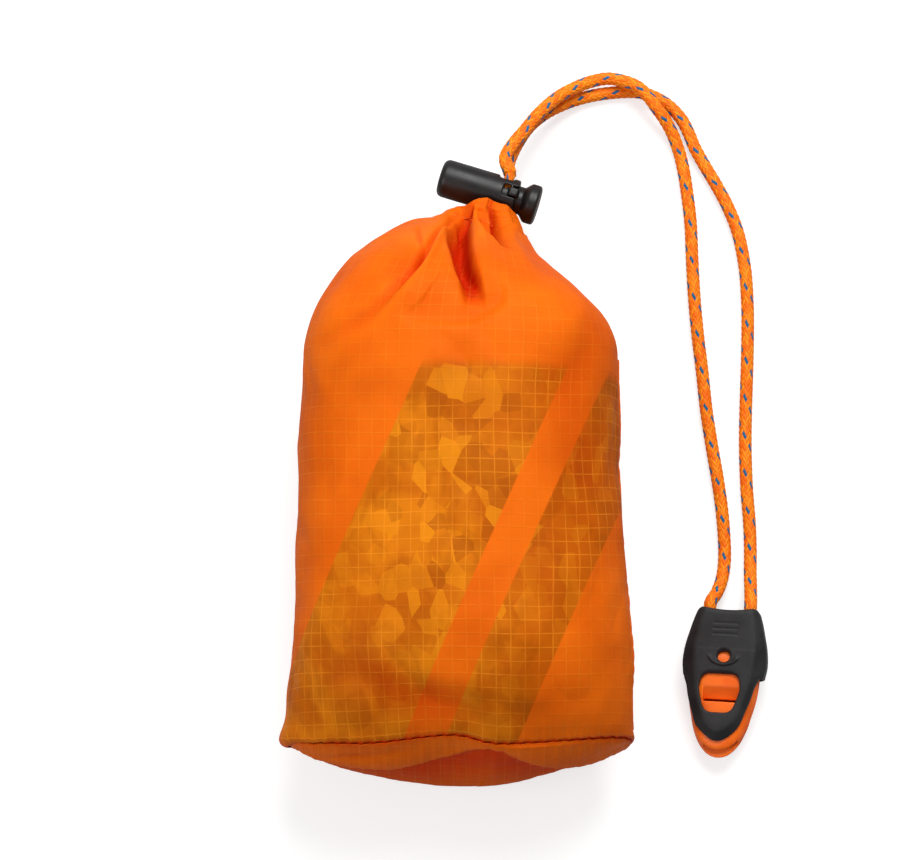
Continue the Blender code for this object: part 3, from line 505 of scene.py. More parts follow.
def braid_finish():
    finish = Finish("braided_cord", roughness=0.55)
    finish.set(sheen_weight=0.03, sheen_roughness=0.4, specular_ior_level=0.2)
    around, along, _ = finish.cloth("braid")
    a = (around + along) * BRAID_CARRIERS
    b = (around - along) * BRAID_CARRIERS
    yarn_a, yarn_b = a.floor(), b.floor()
    on_top = (yarn_a + yarn_b).wrapped(4.0).below(1.5)
    across = on_top * a.part() + (on_top * -1 + 1) * b.part()
    yarn = on_top * yarn_a + (on_top * -1 + 1) * (yarn_b + 31.0)
    shade = finish.noise(finish.join(yarn * 0.37, along * 0.6), 0.4, 1.0)
    # Painted shade in the crevices at each yarn's edges, on the orange and on the blue tracer
    edge = (across - 0.5).size().ease(0.30, 0.5)
    flat = shade.between(linear(246, 112, 2), linear(255, 152, 20))
    orange = edge.mix(flat, linear(226, 84, 0))
    tracer = on_top * (yarn_a + 0.5).wrapped(6.0).below(1.0)
    blue = edge.mix(linear(12, 104, 150), linear(8, 58, 92))
    finish.colour(tracer.mix(orange, blue))
    strands = (across * (2 * math.pi * 5)).sine() * 0.5 + 0.5
    finish.bump(strands, 0.00002, 0.6)
    return finish


def whistle_matrix():
    """The whistle's frame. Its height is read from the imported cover, which rests on the floor."""
    turn = Matrix.Rotation(WHISTLE_YAW, 3, "Z") @ Matrix.Rotation(WHISTLE_ROLL, 3, "Y")
    low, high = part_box("whistle_cover")
    height = (low.z + high.z) / 2
    return Matrix.Translation((WHISTLE_X, WHISTLE_Y, height)) @ turn.to_4x4()


WHISTLE = whistle_matrix()
BRAID = braid_finish()


def on_whistle(x, y, z):
    return np.array(WHISTLE @ Vector((x, y, z)))


def make_strand(name, node, route, side):
    """A free strand of the cord, from inside the lock to its hole in the whistle's cover."""
    offset = UP * (side * STRAND_OFFSET)
    start = CHANNEL_TOP + LOCK_ACROSS * (GAP / 2) + offset
    clear = LOCK_HOLE + LOCK_ACROSS * (BARREL_RADIUS + 2 * GAP) + offset
    hole_x = -side * CORD_HOLE_SPACING / 2
    entry = on_whistle(hole_x, ENTRY_RUN / 2, 0)
    end = on_whistle(hole_x, -COVER_END_WALL, 0)
    free = [np.array((x, y, *(height or (STRAND_ON_FLOOR,)))) * MM for x, y, *height in route]
    line, reach = smooth_line([start, (start + clear) / 2, clear, *free, entry, end], BRAID_STEP)
    share = unit((reach - np.linalg.norm(clear - start)) / CORD_SQUEEZE_LENGTH)
    radii = CLAMPED_CORD_RADIUS + (CORD_RADIUS - CLAMPED_CORD_RADIUS) * smooth_step(share)
    strand = declared(braided_cord(name, line, reach, radii, BRAID), node)
    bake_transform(strand)


make_strand("strand_left", "drawcord_strand_left", LEFT_ROUTE, 1)
make_strand("strand_right", "drawcord_strand_right", RIGHT_ROUTE, -1)

# Stuff sack

SACK_HALF_WIDTH = 0.0367
SACK_THICKNESS = 0.054
FLAT_DEPTH = 0.0007
BOTTOM_Y = -0.0465
SHOULDER_Y = 0.0429
SEAM_HALF_WIDTH = 0.0399
SEAM_THICKNESS = 0.041
SEAM_EASE = 0.026
SIDE_EASE = 0.060
SIDE_EASE_POWER = 1.25
SACK_SQUARENESS = 2.5
# How soon x, y, half width, low, height, squareness and tilt change from the shoulders to the neck
SHOULDER_POWERS = (1.74, 1.0, 1.856, 4.13, 2.913, 1.0, 1.20)
CHANNEL_HEIGHT = 0.0046
CHANNEL_SHIFT = 0.0009
LOOP_RADIUS = 0.0044
LOOP_END_ANGLE = math.radians(18)
LOOP_SHIFT = LOOP_RADIUS * math.cos(LOOP_END_ANGLE)
PANEL_BULGE = 0.0077
PANEL_PEAK_Z = 0.013

RING_STEPS = 2880
CLOTH_ROUND = 560
CLOTH_BODY_ROWS = 190
CLOTH_SHOULDER_ROWS = 130
CLOTH_THICKNESS = 0.00018
EDGE_ROUNDING = 0.0007
EDGE_ROWS = 6
GIRTH = 0.205
SEAM_PUCKER_PITCH = 0.0035
SEAM_PUCKER_WIDTH = 0.0030
SEAM_PUCKER_DEPTH = 0.00028
NECK_DEPTH = 0.0034
NECK_RADIUS = 0.0102
HEM_DEPTH = 0.0012
STEP_SOFTNESS = {"step": 0.28, "rim": 1.0}
# Fold depths that set how dark the painted shade in the folds is
DEEP_DISH = 0.0045
DEEP_FOLD = 0.0030


def body_section(y):
    """x, y, half width, low, top, squareness and tilt of a cross-section below the shoulders."""
    ease = max(0.0, 1 - (y - BOTTOM_Y) / SEAM_EASE) ** 2
    widening = max(0.0, 1 - (y - BOTTOM_Y) / SIDE_EASE) ** SIDE_EASE_POWER
    half_width = SACK_HALF_WIDTH + (SEAM_HALF_WIDTH - SACK_HALF_WIDTH) * widening
    top = SACK_THICKNESS + (SEAM_THICKNESS - SACK_THICKNESS) * ease
    return np.array((0.0, y, half_width, -FLAT_DEPTH, top, SACK_SQUARENESS, 0.0))


def neck_section():
    up_from_loop = LOCK_ACROSS * (CHANNEL_HEIGHT + GAP)
    x, y, z = CHANNEL_TOP - up_from_loop - LOCK_ALONG * (LOOP_SHIFT - CHANNEL_SHIFT)
    return np.array((x, y, NECK_RADIUS, z - NECK_RADIUS, z + NECK_RADIUS, 2.0, LOCK_YAW))


def shoulder_section(share):
    """The cross-section at a share of the way from the shoulders to the neck."""
    foot, neck = body_section(SHOULDER_Y), neck_section()
    for section in (foot, neck):
        section[4] -= section[3]
    made = foot + (neck - foot) * share ** np.array(SHOULDER_POWERS)
    made[4] += made[3]
    return made


def superellipse(angle, squareness):
    """Across and up on a superellipse of unit size."""
    cos, sin = np.cos(angle), np.sin(angle)
    power = 2 / squareness
    return np.sign(cos) * np.abs(cos) ** power, np.sign(sin) * np.abs(sin) ** power


def section_ring(section, inset, count):
    """Even points round a cross-section, anticlockwise from its right side, flat on the floor."""
    x, y, half_width, low, top, squareness, tilt = section
    across, up = superellipse(np.linspace(0, 2 * np.pi, RING_STEPS + 1), squareness)
    across = (half_width - inset) * across
    up = (low + top) / 2 + ((top - low) / 2 - inset) * up
    up = np.maximum(up, max(inset, 0.0))
    reach = reach_along(np.stack([across, up], -1))
    at = np.arange(count) / count * reach[-1]
    across, up = np.interp(at, reach, across), np.interp(at, reach, up)
    return np.stack([x + across * math.cos(tilt), y - across * math.sin(tilt), up], -1)


def surface_normals(grid):
    """Outward directions of a grid whose rows run right round."""
    round_it = np.roll(grid, -1, axis=1) - np.roll(grid, 1, axis=1)
    normal = np.cross(np.gradient(grid, axis=0), round_it)
    return normal / np.maximum(np.linalg.norm(normal, axis=-1), 1e-12)[..., None]


def beside(points, line):
    """Each point's distance from a line in XY, its side of it, and its share of the way along."""
    line = np.array(line) * MM
    lengths = np.linalg.norm(np.diff(line, axis=0), axis=1)
    best = np.full(points.shape[:-1], np.inf)
    side, share = np.zeros_like(best), np.zeros_like(best)
    start = 0.0
    for a, b, length in zip(line, line[1:], lengths):
        way = (b - a) / length
        away = points[..., :2] - a
        along = np.clip(away @ way, 0, length)
        off = away - along[..., None] * way
        distance = np.linalg.norm(off, axis=-1)
        nearer = distance < best
        best = np.where(nearer, distance, best)
        cross = way[0] * away[..., 1] - way[1] * away[..., 0]
        side = np.where(nearer, np.sign(cross), side)
        share = np.where(nearer, (start + along) / lengths.sum(), share)
        start += length
    return best, side, share


# Folds of the gathered mouth on the sack's upper side, as the photograph shows them. Each has a
# kind, the line that it follows in millimetres, how far the cloth moves at even steps along it, and
# how wide the fold is there. A dish has a flat bottom and a line is a soft fold. A step and a rim
# move the cloth on their line's right, the rim over a broader edge.
FOLDS = (
    ("dish",
     ((0.3, 79.5), (0, 73), (0, 66.7), (0.6, 63.1), (1.3, 59.5), (2.5, 55.4), (3.1, 51.9),
      (3.5, 48.5)),
     (-1, -2.8, -3.6, -3.6, -3.2, -2.6, -1.6, -0.4), (1.5, 2.4, 2.6, 2.3, 2.3, 2.3, 2.5)),
    ("line",
     ((0.5, 78), (0.1, 70.6), (0.4, 65.8), (1.2, 61.7), (1.9, 58), (2.5, 54.5), (2.6, 50)),
     (-0.4, -1.2, -1.5, -1.5, -1.4, -1, 0), (2.2, 2.4, 2.2, 2.2, 2.2, 2.4)),
    ("rim",
     ((10.3, 60), (9.4, 56), (10.3, 52.5), (9.5, 49.7), (7.3, 47.5), (2.8, 45.4), (-1.6, 45),
      (-6.1, 45.2), (-10.2, 45.5), (-12.6, 47), (-14.5, 50.5)),
     (0, -1.4, -2, -2, -1.8, -1.5, -1, 0), (4, 7, 9, 9, 7)),
    ("step",
     ((4.6, 86), (2.9, 80.5), (2.7, 77), (2.7, 73.2), (2.6, 65.6), (2.8, 62.2), (3.3, 60),
      (4.2, 57.9), (4.8, 55.5), (5.4, 51.9), (5.7, 49)),
     (-0.4, -1.6, -2.8, -2.8, -2.8, -2.4, -1.4, 0), (1.6, 2.2, 3, 3.6)),
    ("line",
     ((4.2, 84), (3.5, 78.5), (3.8, 74.5), (4.7, 71), (5.6, 67.5), (6.8, 62.5), (8.8, 58.8)),
     (0.4, 0.8, 1.1, 1, 0.7, 0.3), (0.8, 1.1, 1.6, 2.2)),
    ("step",
     ((1.5, 49), (0.9, 51.9), (0.3, 55.4), (-1, 59.5), (-1.6, 63.1), (-2.7, 66.7), (-2.9, 70.2),
      (-2.6, 74)),
     (0, -0.6, -1, -1.3, -1.4, -1.4, -1, 0), (2.4, 2.6)),
    ("line",
     ((-1.6, 79.5), (-2.5, 75.9), (-3.2, 73.3), (-4.8, 71.2), (-6.1, 67.6), (-7, 65.3), (-8, 63.4),
      (-10.2, 59.1), (-12.8, 56.3), (-16.2, 52), (-20.3, 48), (-26, 45), (-31.3, 43)),
     (-0.8, -1.3, -1.7, -1.9, -1.5, -1, -0.6, -0.3), (0.6, 0.8, 1, 1.4, 1.8, 2.4)),
    ("line",
     ((-0.9, 77.3), (-2.4, 73.8), (-3.6, 71.2), (-4.5, 68.2), (-5.6, 64), (-8, 59.5), (-11, 54.8),
      (-13.8, 51), (-16.4, 47.5)),
     (0.4, 1, 1.4, 1.4, 1, 0.7, 0.3), (0.7, 0.9, 1.3, 2.4)),
    ("line", ((-8.3, 62.6), (-10, 60.8), (-12.8, 59.3)), (-1.2, -0.5), (1.4, 2.2)),
    ("line", ((-9.9, 71.5), (-9.2, 66.8), (-8, 64.3)), (-0.5, -0.8, -0.3), (0.6, 0.5)),
    ("line", ((-15, 66.5), (-12.5, 62.5), (-15.5, 58.5)), (-0.4, -0.8), (2, 3.2)),
    ("line",
     ((-0.3, 78.6), (0.2, 76.8), (1, 74.9), (2.4, 73.2)),
     (-0.6, -1, -0.9, -0.5), (0.5, 0.6)),
    ("step",
     ((13, 65), (11.7, 66), (10.1, 67.1), (8.1, 69.7), (6.5, 71.4), (4.9, 74.6), (4.3, 77.3),
      (4, 79.5)),
     (0, -0.8, -1.4, -1.6, -1.5, -1.2, -0.8, -0.4), (2, 2.6, 3.2, 3.4)),
    ("line",
     ((8.9, 85.5), (7.1, 79.7), (7.7, 78.4), (8.3, 76), (8.8, 72.5), (9.2, 69.3), (9.9, 67.6),
      (11.2, 66.2)),
     (-0.4, -1.2, -2.2, -2.6, -2.6, -1.6, -0.6), (0.6, 0.7, 0.8, 0.7)),
    ("line",
     ((11, 82), (10.4, 78), (11.4, 73), (13, 66.5), (16, 60.5)),
     (0.6, 1.3, 1.2, 0.3), (1, 1.4, 2.4)),
    ("line", ((3, 80.4), (4.3, 80.7), (5.9, 80.8)), (-0.4, -0.5, -0.3), (0.35, 0.4)),
    ("line", ((3.3, 79.2), (4.3, 79), (5.4, 78.8)), (-0.3, -0.5, -0.2), (0.35, 0.4)),
    ("line", ((9, 78.5), (10.2, 79.1), (12, 79)), (-0.4, -0.6, -0.3), (0.4, 0.5)),
    ("line", ((14.5, 75), (17.2, 66), (22, 58)), (-0.4, -0.7, -0.2), (1.4, 2.8)),
    ("line", ((-29, 60), (-24, 53), (-25, 44)), (-0.5, -0.3), (4, 5)),
    ("line",
     ((-30, -29), (-20.7, -33.8), (-10, -38), (0.6, -41.5)),
     (-0.3, -1, -1.4, -0.8), (5, 5, 4)),
    ("line", ((-8, -34), (6, -37.5), (22, -38)), (0.5, 0.6, 0.3), (3, 4)),
    ("line", ((31.7, 46), (24, 30), (28, 12)), (-0.5, -0.9, -0.5), (4, 5)),
)


def folds_on(points, folds):
    """How far the broad forms and the narrow folds move the cloth outwards, in metres.

    The first two coordinates of the points are those that the folds are drawn in.
    """
    broad, narrow = np.zeros(points.shape[:-1]), np.zeros(points.shape[:-1])
    for kind, line, *measures in folds:
        distance, side, share = beside(points, line)
        depth, width = (np.interp(share, np.linspace(0, 1, len(m)), m) * MM for m in measures)
        if kind in STEP_SOFTNESS:
            softness = STEP_SOFTNESS[kind] * MM
            depth = depth * (0.5 - 0.5 * np.tanh(side * distance / softness))
        total = broad if kind in ("dish", "rim") else narrow
        total += depth * np.exp(-(distance / width) ** (4 if kind == "dish" else 2))
    return broad, narrow


def fold_shade_share(broad, narrow, pleats):
    """The painted shade of the cloth in its folds, from 0 on top to 1 in the hollows."""
    return unit(0.45 * unit(-broad / DEEP_DISH) - (narrow + pleats * 0.5) / DEEP_FOLD)


PLEATS = 17
PLEAT_SEED = 7
PLEAT_LENGTHS = (0.010, 0.034)
PLEAT_DEPTHS = (0.0009, 0.0020)
PLEAT_DRIFTS = (-0.02, 0.02)
PLEAT_WIDTHS = (0.010, 0.018)


def pleat_height(around, below_neck):
    """Pleats that the drawcord gathers all round the neck."""
    chance = np.random.default_rng(PLEAT_SEED)
    total = np.zeros(around.shape)
    for k in range(PLEATS):
        middle = (k + chance.uniform(-0.3, 0.3)) / PLEATS
        length = chance.uniform(*PLEAT_LENGTHS)
        depth = chance.uniform(*PLEAT_DEPTHS)
        drift = chance.uniform(*PLEAT_DRIFTS)
        width = chance.uniform(*PLEAT_WIDTHS)
        fade = unit(1 - below_neck / length) ** 1.5
        off = np.mod(around - middle - drift * (1 - fade) + 0.5, 1) - 0.5
        total -= depth * fade * bell(off / width)
    return total


def wrinkle_height(points):
    """Slack of the thin cloth over the rolled foil."""
    slant = points @ np.array(((0.82, 0.57, 0.0), (-0.20, 0.28, 0.0), (0.0, 0.3, 0.9))).T
    broad = lattice_noise(points, 0.019, 1) * 0.0007
    creases = (np.abs(lattice_noise(slant, 0.0085, 2)) - 0.35) * 0.00065
    small = lattice_noise(points, 0.0042, 3) * 0.00016
    return broad + creases + small


def wall_rows():
    """Cross-sections of the wall from its turned-in edge to the neck, each with its inset."""
    rows = []
    for k in range(EDGE_ROWS):
        turn = math.pi / 2 * k / EDGE_ROWS
        y = BOTTOM_Y + EDGE_ROUNDING * (1 - math.cos(turn))
        rows.append((body_section(y), EDGE_ROUNDING * (1 - math.sin(turn))))
    low = BOTTOM_Y + EDGE_ROUNDING
    for k in range(CLOTH_BODY_ROWS):
        rows.append((body_section(low + (SHOULDER_Y - low) * k / CLOTH_BODY_ROWS), 0.0))
    for k in range(CLOTH_SHOULDER_ROWS + 1):
        rows.append((shoulder_section(math.sin(math.pi / 2 * k / CLOTH_SHOULDER_ROWS)), 0.0))
    return rows


# The hem from the neck, over its top and down the hole in its middle: radius and height in
# millimetres, how much of the lip's rise each row takes, and how much of the folds' depth
HEM_PROFILE = (
    (10.2, 0, 0, 1), (9.75, 0.7, 0, 1), (9.25, 1.5, 0, 1), (8.75, 2.3, 0, 1), (8.25, 3.1, 0.3, 1),
    (7.8, 3.8, 0.6, 0.9), (7.35, 4.35, 0.85, 0.8), (6.8, 4.6, 1, 0.65), (6.3, 4.55, 1, 0.5),
    (5.9, 4.4, 0.9, 0.4), (5.6, 4.3, 0.5, 0.3), (5.3, 4.25, 0.05, 0.2), (4.4, 4.2, 0, 0.1),
    (3, 4.15, 0, 0.05), (1.9, 4, 0, 0), (1.6, 3, 0, 0), (1.6, -0.5, 0, 0),
)
HEM_ROWS = 110
HEM_LIP = 0.0019
HEM_LIP_ANGLE = math.radians(55)
HEM_LIP_SPREAD = math.radians(66)
HEM_CREASE = 0.00030
HEM_LEFT_DROP = 0.0014
HEM_LEFT_TUCK = 0.0004
HEM_CORD_REACH = 0.0072
RIGHT_FLARE = 0.0022
RIGHT_FLARE_REACH = 0.0075
# The small ear of cloth at the left end of the bottom seam
EAR_REACH = 0.0015
EAR_Y = -0.0455
EAR_Z = 0.022
# Where the drawn folds of the mouth take the place of the even pleats
FRONT_START = 0.040
FRONT_RUN = 0.012
# Rows over which the folds turn from the wall's outward direction to the hem's
HEM_TURN_ROWS = 14


def hem_profile():
    """Radius, height, lip share and depth share of each of the hem's rows, in metres."""
    knots = np.array(HEM_PROFILE) * (MM, MM, 1, 1)
    at = np.linspace(0, len(knots) - 1, HEM_ROWS)
    profile = np.stack([np.interp(at, np.arange(len(knots)), column) for column in knots.T])
    for _ in range(8):
        profile[:, 1:-1] = (profile[:, :-2] + profile[:, 1:-1] * 2 + profile[:, 2:]) / 4
    return profile


def hem_base(neck_ring):
    """The hem's points before its folds, their outward directions and share of the folds' depth."""
    radius, height, lip, depth = hem_profile()
    centre = neck_ring.mean(axis=0)
    away = neck_ring - centre
    away = away / np.linalg.norm(away, axis=1)[:, None]
    angle = np.arctan2(away @ UP, away @ LOCK_ALONG)
    to_left = unit(-np.cos(angle))
    off = np.abs(np.mod(angle - HEM_LIP_ANGLE + np.pi, 2 * np.pi) - np.pi)
    rise = HEM_LIP * np.exp(-(off / HEM_LIP_SPREAD) ** 8) * (1 + 0.08 * np.sin(angle * 9 + 1.0))
    up = height[:, None] + (rise - HEM_LEFT_DROP * to_left)[None] * lip[:, None]
    middle = unit(height / 0.0012) * unit((radius - 0.0071) / 0.0010)
    out = radius[:, None] - HEM_LEFT_TUCK * to_left[None] * middle[:, None]
    points = centre + away * out[..., None] + LOCK_ACROSS * up[..., None]
    return points, away, np.broadcast_to(depth[:, None], up.shape)


def cloth_uv(along):
    """The UV grid of cloth rows: the way round the sack and the way along it, in metres."""
    turns = np.arange(CLOTH_ROUND + 1) / CLOTH_ROUND * GIRTH
    along = np.concatenate([along, along[:, :1]], axis=1)
    return np.stack([np.broadcast_to(turns, along.shape), along], -1)


def seam_pucker(base, around):
    """How far the side seam's thread draws in the cloth beside it."""
    from_seam = np.minimum(around, 1 - around) * GIRTH / SEAM_PUCKER_WIDTH
    waves = base[..., 1] * (2 * np.pi / SEAM_PUCKER_PITCH) + lattice_noise(base, 0.007, 21) * 3
    gather = (0.5 + 0.5 * np.sin(waves)) ** 2
    gather = gather * np.clip(0.5 + lattice_noise(base, 0.010, 22), 0, 1.5)
    in_seam = unit((SHOULDER_Y - base[..., 1]) / 0.006)
    return SEAM_PUCKER_DEPTH * gather * in_seam * bell(from_seam)


def deepest_fold(base, centre, away, below_neck, above_neck):
    """How far the cloth may go in. It goes in less near the neck, and keeps off the hem's cord."""
    in_hem = NECK_DEPTH - (NECK_DEPTH - HEM_DEPTH) * unit(above_neck / 0.005)
    deepest = np.where(above_neck > 0, in_hem, NECK_DEPTH + below_neck * 0.8)
    left = unit(-(away @ LOCK_ALONG) * 3)
    spare = np.abs(((base - centre) * away).sum(-1)) - HEM_CORD_REACH
    spare = np.maximum(spare, 0) + 0.004 * (1 - left)
    return np.where(above_neck > 0.0003, np.minimum(deepest, spare), deepest)


def cloth_height(base, normals, away, hem_depth, neck, along):
    """How far each point of the cloth stands out from its plain form, and its painted fold shade.
    """
    below_neck = np.maximum(along[neck] - along, 0)
    above_neck = np.maximum(along - along[neck], 0)
    around = np.broadcast_to(np.arange(CLOTH_ROUND) / CLOTH_ROUND, along.shape)
    upper = unit(normals[..., 2] * 2.2 + 0.1)
    front = unit((base[..., 1] - FRONT_START) / FRONT_RUN) * upper
    to_right = unit(away @ LOCK_ALONG)
    pleats = pleat_height(around, below_neck) * (1 - 0.85 * front) * (1 - 0.7 * to_right)
    broad, narrow = (part * upper for part in folds_on(base, FOLDS))
    # Painted shade, darker in the hollows of the folds and along the turned edge at the bottom seam
    depth = unit(fold_shade_share(broad, narrow, pleats) + np.exp(-along / EDGE_ROUNDING) * 0.5)
    height = wrinkle_height(base) * unit(along / 0.004) + pleats + broad + narrow
    height -= seam_pucker(base, around)
    centre = base[neck].mean(axis=0)
    height = np.maximum(height, -deepest_fold(base, centre, away, below_neck, above_neck))
    turn = neck + int(np.argmax(hem_depth[:, 0] < 0.97))
    height[turn:] = height[turn] * hem_depth[turn - neck:]
    flare = bell(below_neck / 0.006) * unit(1 - (above_neck / RIGHT_FLARE_REACH) ** 2)
    height += RIGHT_FLARE * to_right ** 1.5 * flare
    ear = bell((base[..., 1] - EAR_Y) / 0.0035) * bell((base[..., 2] - EAR_Z) / 0.009)
    height += EAR_REACH * ear * (base[..., 0] < -0.03)
    hem = base[neck + 1:]
    crumple = lattice_noise(hem, 0.0024, 11) + 0.5 * lattice_noise(hem, 0.0012, 12)
    started = unit(above_neck[neck + 1:] / 0.0015) * (hem_depth[1:] > 0.25)
    height[neck + 1:] += crumple * HEM_CREASE * started
    return height, depth


def make_wall_and_hem(finish, hem_finish):
    """The wall and the hem as one cloth, so that the folds run through both, cut at the neck."""
    rings = [section_ring(section, inset, CLOTH_ROUND) for section, inset in wall_rows()]
    wall_base = np.array(rings)
    hem, away, hem_depth = hem_base(wall_base[-1])
    neck = len(wall_base) - 1
    base = np.concatenate([wall_base, hem[1:]])
    normals = surface_normals(base)
    blend = unit((np.arange(len(base)) - neck + HEM_TURN_ROWS) / HEM_TURN_ROWS)[:, None, None]
    normals = normals * (1 - blend) + away * blend
    normals /= np.linalg.norm(normals, axis=-1)[..., None]
    steps = np.linalg.norm(np.diff(base, axis=0), axis=-1)
    along = np.concatenate([np.zeros((1, CLOTH_ROUND)), np.cumsum(steps, axis=0)])
    height, depth = cloth_height(base, normals, away, hem_depth, neck, along)
    grid = base + normals * height[..., None]
    grid[..., 2] = np.maximum(grid[..., 2], 0.0)
    grid[..., 1] += seam_wave(base) * unit(1 - along / 0.012) ** 2
    uv = cloth_uv(along)
    wall = skin("sack_wall", grid[:neck + 1], finish, uv[:neck + 1], depth=depth[:neck + 1])
    hem = skin("hem", grid[neck:], hem_finish, uv[neck:], depth=depth[neck:])
    for piece in (wall, hem):
        thicken(piece, CLOTH_THICKNESS)
    return wall, hem, base, grid, neck, away


# How far the bottom seam wanders along Y, at places across, in millimetres
SEAM_WAVE = (
    (-42, 1.2), (-38, 0.6), (-33.5, -0.4), (-28, -0.8), (-22, -1.1), (-16.6, -0.9), (-10, -0.1),
    (-4, 0.5), (-1, 0.6), (2, 0.1), (5, -0.9), (8.4, -1.4), (12, -1.3), (18, -0.9), (27, 0),
    (34, 0.9), (42, 1.7),
)


def seam_wave(points):
    x = points[..., 0] / MM
    places, shifts = np.array(SEAM_WAVE).T
    broad = np.interp(x, places, shifts)
    scallops = 0.16 * np.abs(np.sin(x * 1.15)) + 0.10 * np.abs(np.sin(x * 2.3 + 0.8))
    low = unit(points[..., 2] / (24 * MM))
    tuck = 1.7 * bell((x + 36) / 9) * (1 - low)
    return MM * (broad * low + scallops * (0.4 + 0.6 * low) + tuck)


def thicken(piece, thickness):
    step = piece.modifiers.new("cloth thickness", "SOLIDIFY")
    step.thickness = thickness
    step.offset = -1.0


def ripstop_finish(name, printed=False):
    """Thin ripstop cloth: a 3 mm grid of thicker threads, foil showing through, painted fold shade.
    """
    finish = Finish(name, roughness=0.48)
    finish.set(specular_ior_level=0.04)
    across, along, _ = finish.cloth("cloth")
    painted_fold_shade, _, _ = finish.cloth("depth")
    place = finish.place()
    x, y, z = finish.split(place)
    wobble = (finish.noise(place, 0.006, 2.0) - 0.5) * 0.05
    wobble = wobble + (finish.noise(place, 0.040, 1.0) - 0.5) * 0.9
    lines = []
    for field in (across, along):
        off = ((field / RIPSTOP_CELL + wobble).part() - 0.5).size()
        lines.append(off.ease(RIPSTOP_LINE / 2, RIPSTOP_LINE, 1.0, 0.0))
    thread = lines[0].most(lines[1])
    turns = 2 * math.pi / WEAVE_PITCH
    weave = (across * turns).sine() * (along * turns).sine()

    broad = finish.noise(place, 0.022, 3.0).ease(*NOISE_RANGE)
    mouth = y.ease(0.030, 0.062)
    dark = mouth.mix(linear(216, 92, 8), linear(232, 96, 8))
    light = mouth.mix(linear(230, 104, 12), linear(246, 112, 14))
    orange = broad.mix(dark, light)
    if printed:
        gold_low = finish.noise(place, 0.012, 3.0, 0.4).ease(*NOISE_RANGE)
        gold = gold_low.mix(linear(188, 92, 6), linear(212, 117, 13))
        gold = (x.ease(-0.004, 0.026, 0.0, 0.75)).mix(gold, linear(184, 78, 4))
        stretched = finish.join(x * 1.6, y * 0.8, z)
        patches = finish.noise(stretched, 0.010, 3.0, 0.8).ease(0.46, 0.60, 0.0, 0.30)
        gold = patches.mix(gold, linear(150, 68, 2))
        # Painted glints and painted shade of the crumpled foil's facets under the cloth, strongest
        # in a middle band
        diagonal = finish.join(x * 0.95 + y * 0.40, y * 0.62 - x * 0.45, z * 0.6)
        facets = finish.split(finish.cells(diagonal, 0.0040, output="Color"))
        facet_glint, dark = facets[0].ease(0.45, 0.95), facets[1].ease(0.55, 1.0)
        seen = (x + 0.001).size().ease(0.008, 0.022, 1.0, 0.35)
        seen = seen * (y - 0.006).size().ease(0.020, 0.042, 1.0, 0.2)
        foil = (facet_glint * seen * 0.55).mix(gold, linear(236, 144, 20))
        foil = (dark * seen * 0.50).mix(foil, linear(156, 72, 4))
        slant = x * math.cos(BAR_SLANT) - y * math.sin(BAR_SLANT)
        mask = None
        for middle, width in BARS:
            bar = (slant - middle).size().ease(width / 2 - BAR_SOFT, width / 2 + BAR_SOFT, 1.0, 0.0)
            mask = bar if mask is None else mask.most(bar)
        on_top = z.ease(0.020, 0.030)
        in_body = y.ease(0.034, 0.0375, 1.0, 0.0)
        mask = mask * on_top * in_body
        orange = mask.mix(orange, foil)
        lift = mask * 0.22 + 0.16
    else:
        lift = 0.14
    # Painted shade: the cloth turns dark red in the hollows of its folds and crevices, as the UV
    # layer "depth" gives
    orange = (painted_fold_shade * 0.95).mix(orange, linear(190, 24, 0))
    strength = finish.noise(place, 0.012, 2.0).ease(*NOISE_RANGE, 0.3, 1.0)
    finish.colour((thread * strength * lift).mix(orange, linear(250, 150, 36)))
    finish.roughness(thread.ease(0, 1, 0.55, 0.48))
    finish.bump(thread * 0.8 + weave * 0.1, 0.00006, 0.7)
    return finish


RIPSTOP_CELL = 0.0030
RIPSTOP_LINE = 0.060
WEAVE_PITCH = 0.00036
BAR_SLANT = math.radians(24)
BAR_SOFT = 0.0002
BARS = ((-0.0075, 0.0300), (0.0235, 0.0150))

CLOTH = ripstop_finish("ripstop_printed", printed=True)
PLAIN_CLOTH = ripstop_finish("ripstop_plain")


wall, hem, cloth_base, cloth_grid, neck_row, hem_ways = make_wall_and_hem(CLOTH, PLAIN_CLOTH)
declared(wall, "sack_body", "stuff_sack")
declared(hem, "drawcord_channel", "stuff_sack")


# Bottom panel and its seam

PANEL_ROUND = 420
PANEL_ROWS = 110
PANEL_CENTRE_SHARE = 0.985
PANEL_INSET = 0.0010
# How far the painted shade in the crevice under the seam reaches, and the lowered part's depth for
# its painted shade
CREVICE_WIDTH = 0.0007
PANEL_PLANE_DEPTH = 0.0016
PANEL_EDGE_ROUNDING = 0.0003
SEAM_ROLL_RADIUS = 0.00042
SEAM_ROLL_INSET = 0.00105
SEAM_ROLL_DEPTH = 0.00036
# The seam roll's painted shade, as it lies in the crevice
SEAM_ROLL_SHADE = 0.85
SEAM_ROLL_ROUND = 10
SEAM_ROLL_PUCKERS = 72
# Height below which the panel is painted darker towards the floor, as painted shade
PANEL_SHADE_Z = 0.032
PANEL_FOLDS = (
    ("rim",
     ((-36, 19), (-29, 22.5), (-16, 26), (-1, 32.5), (6, 37), (9.5, 36.5), (17, 28.5), (25, 20.5),
      (31, 13)),
     (-0.5, -1.2, -1.6, -1.7, -1.7, -1.5, -0.8), (10, 13, 15, 13, 10)),
    ("line", ((-30, 27.5), (-18, 30), (-6, 35)), (0.3, 0.6, 0.3), (3, 3)),
    ("line", ((32, 21), (23, 30), (15, 37.5)), (0.4, 0.7, 0.4), (4, 4)),
    ("line", ((-33, 26), (-26, 31), (-14, 36)), (-0.3, -0.6, -0.2), (1.2, 1.4)),
)


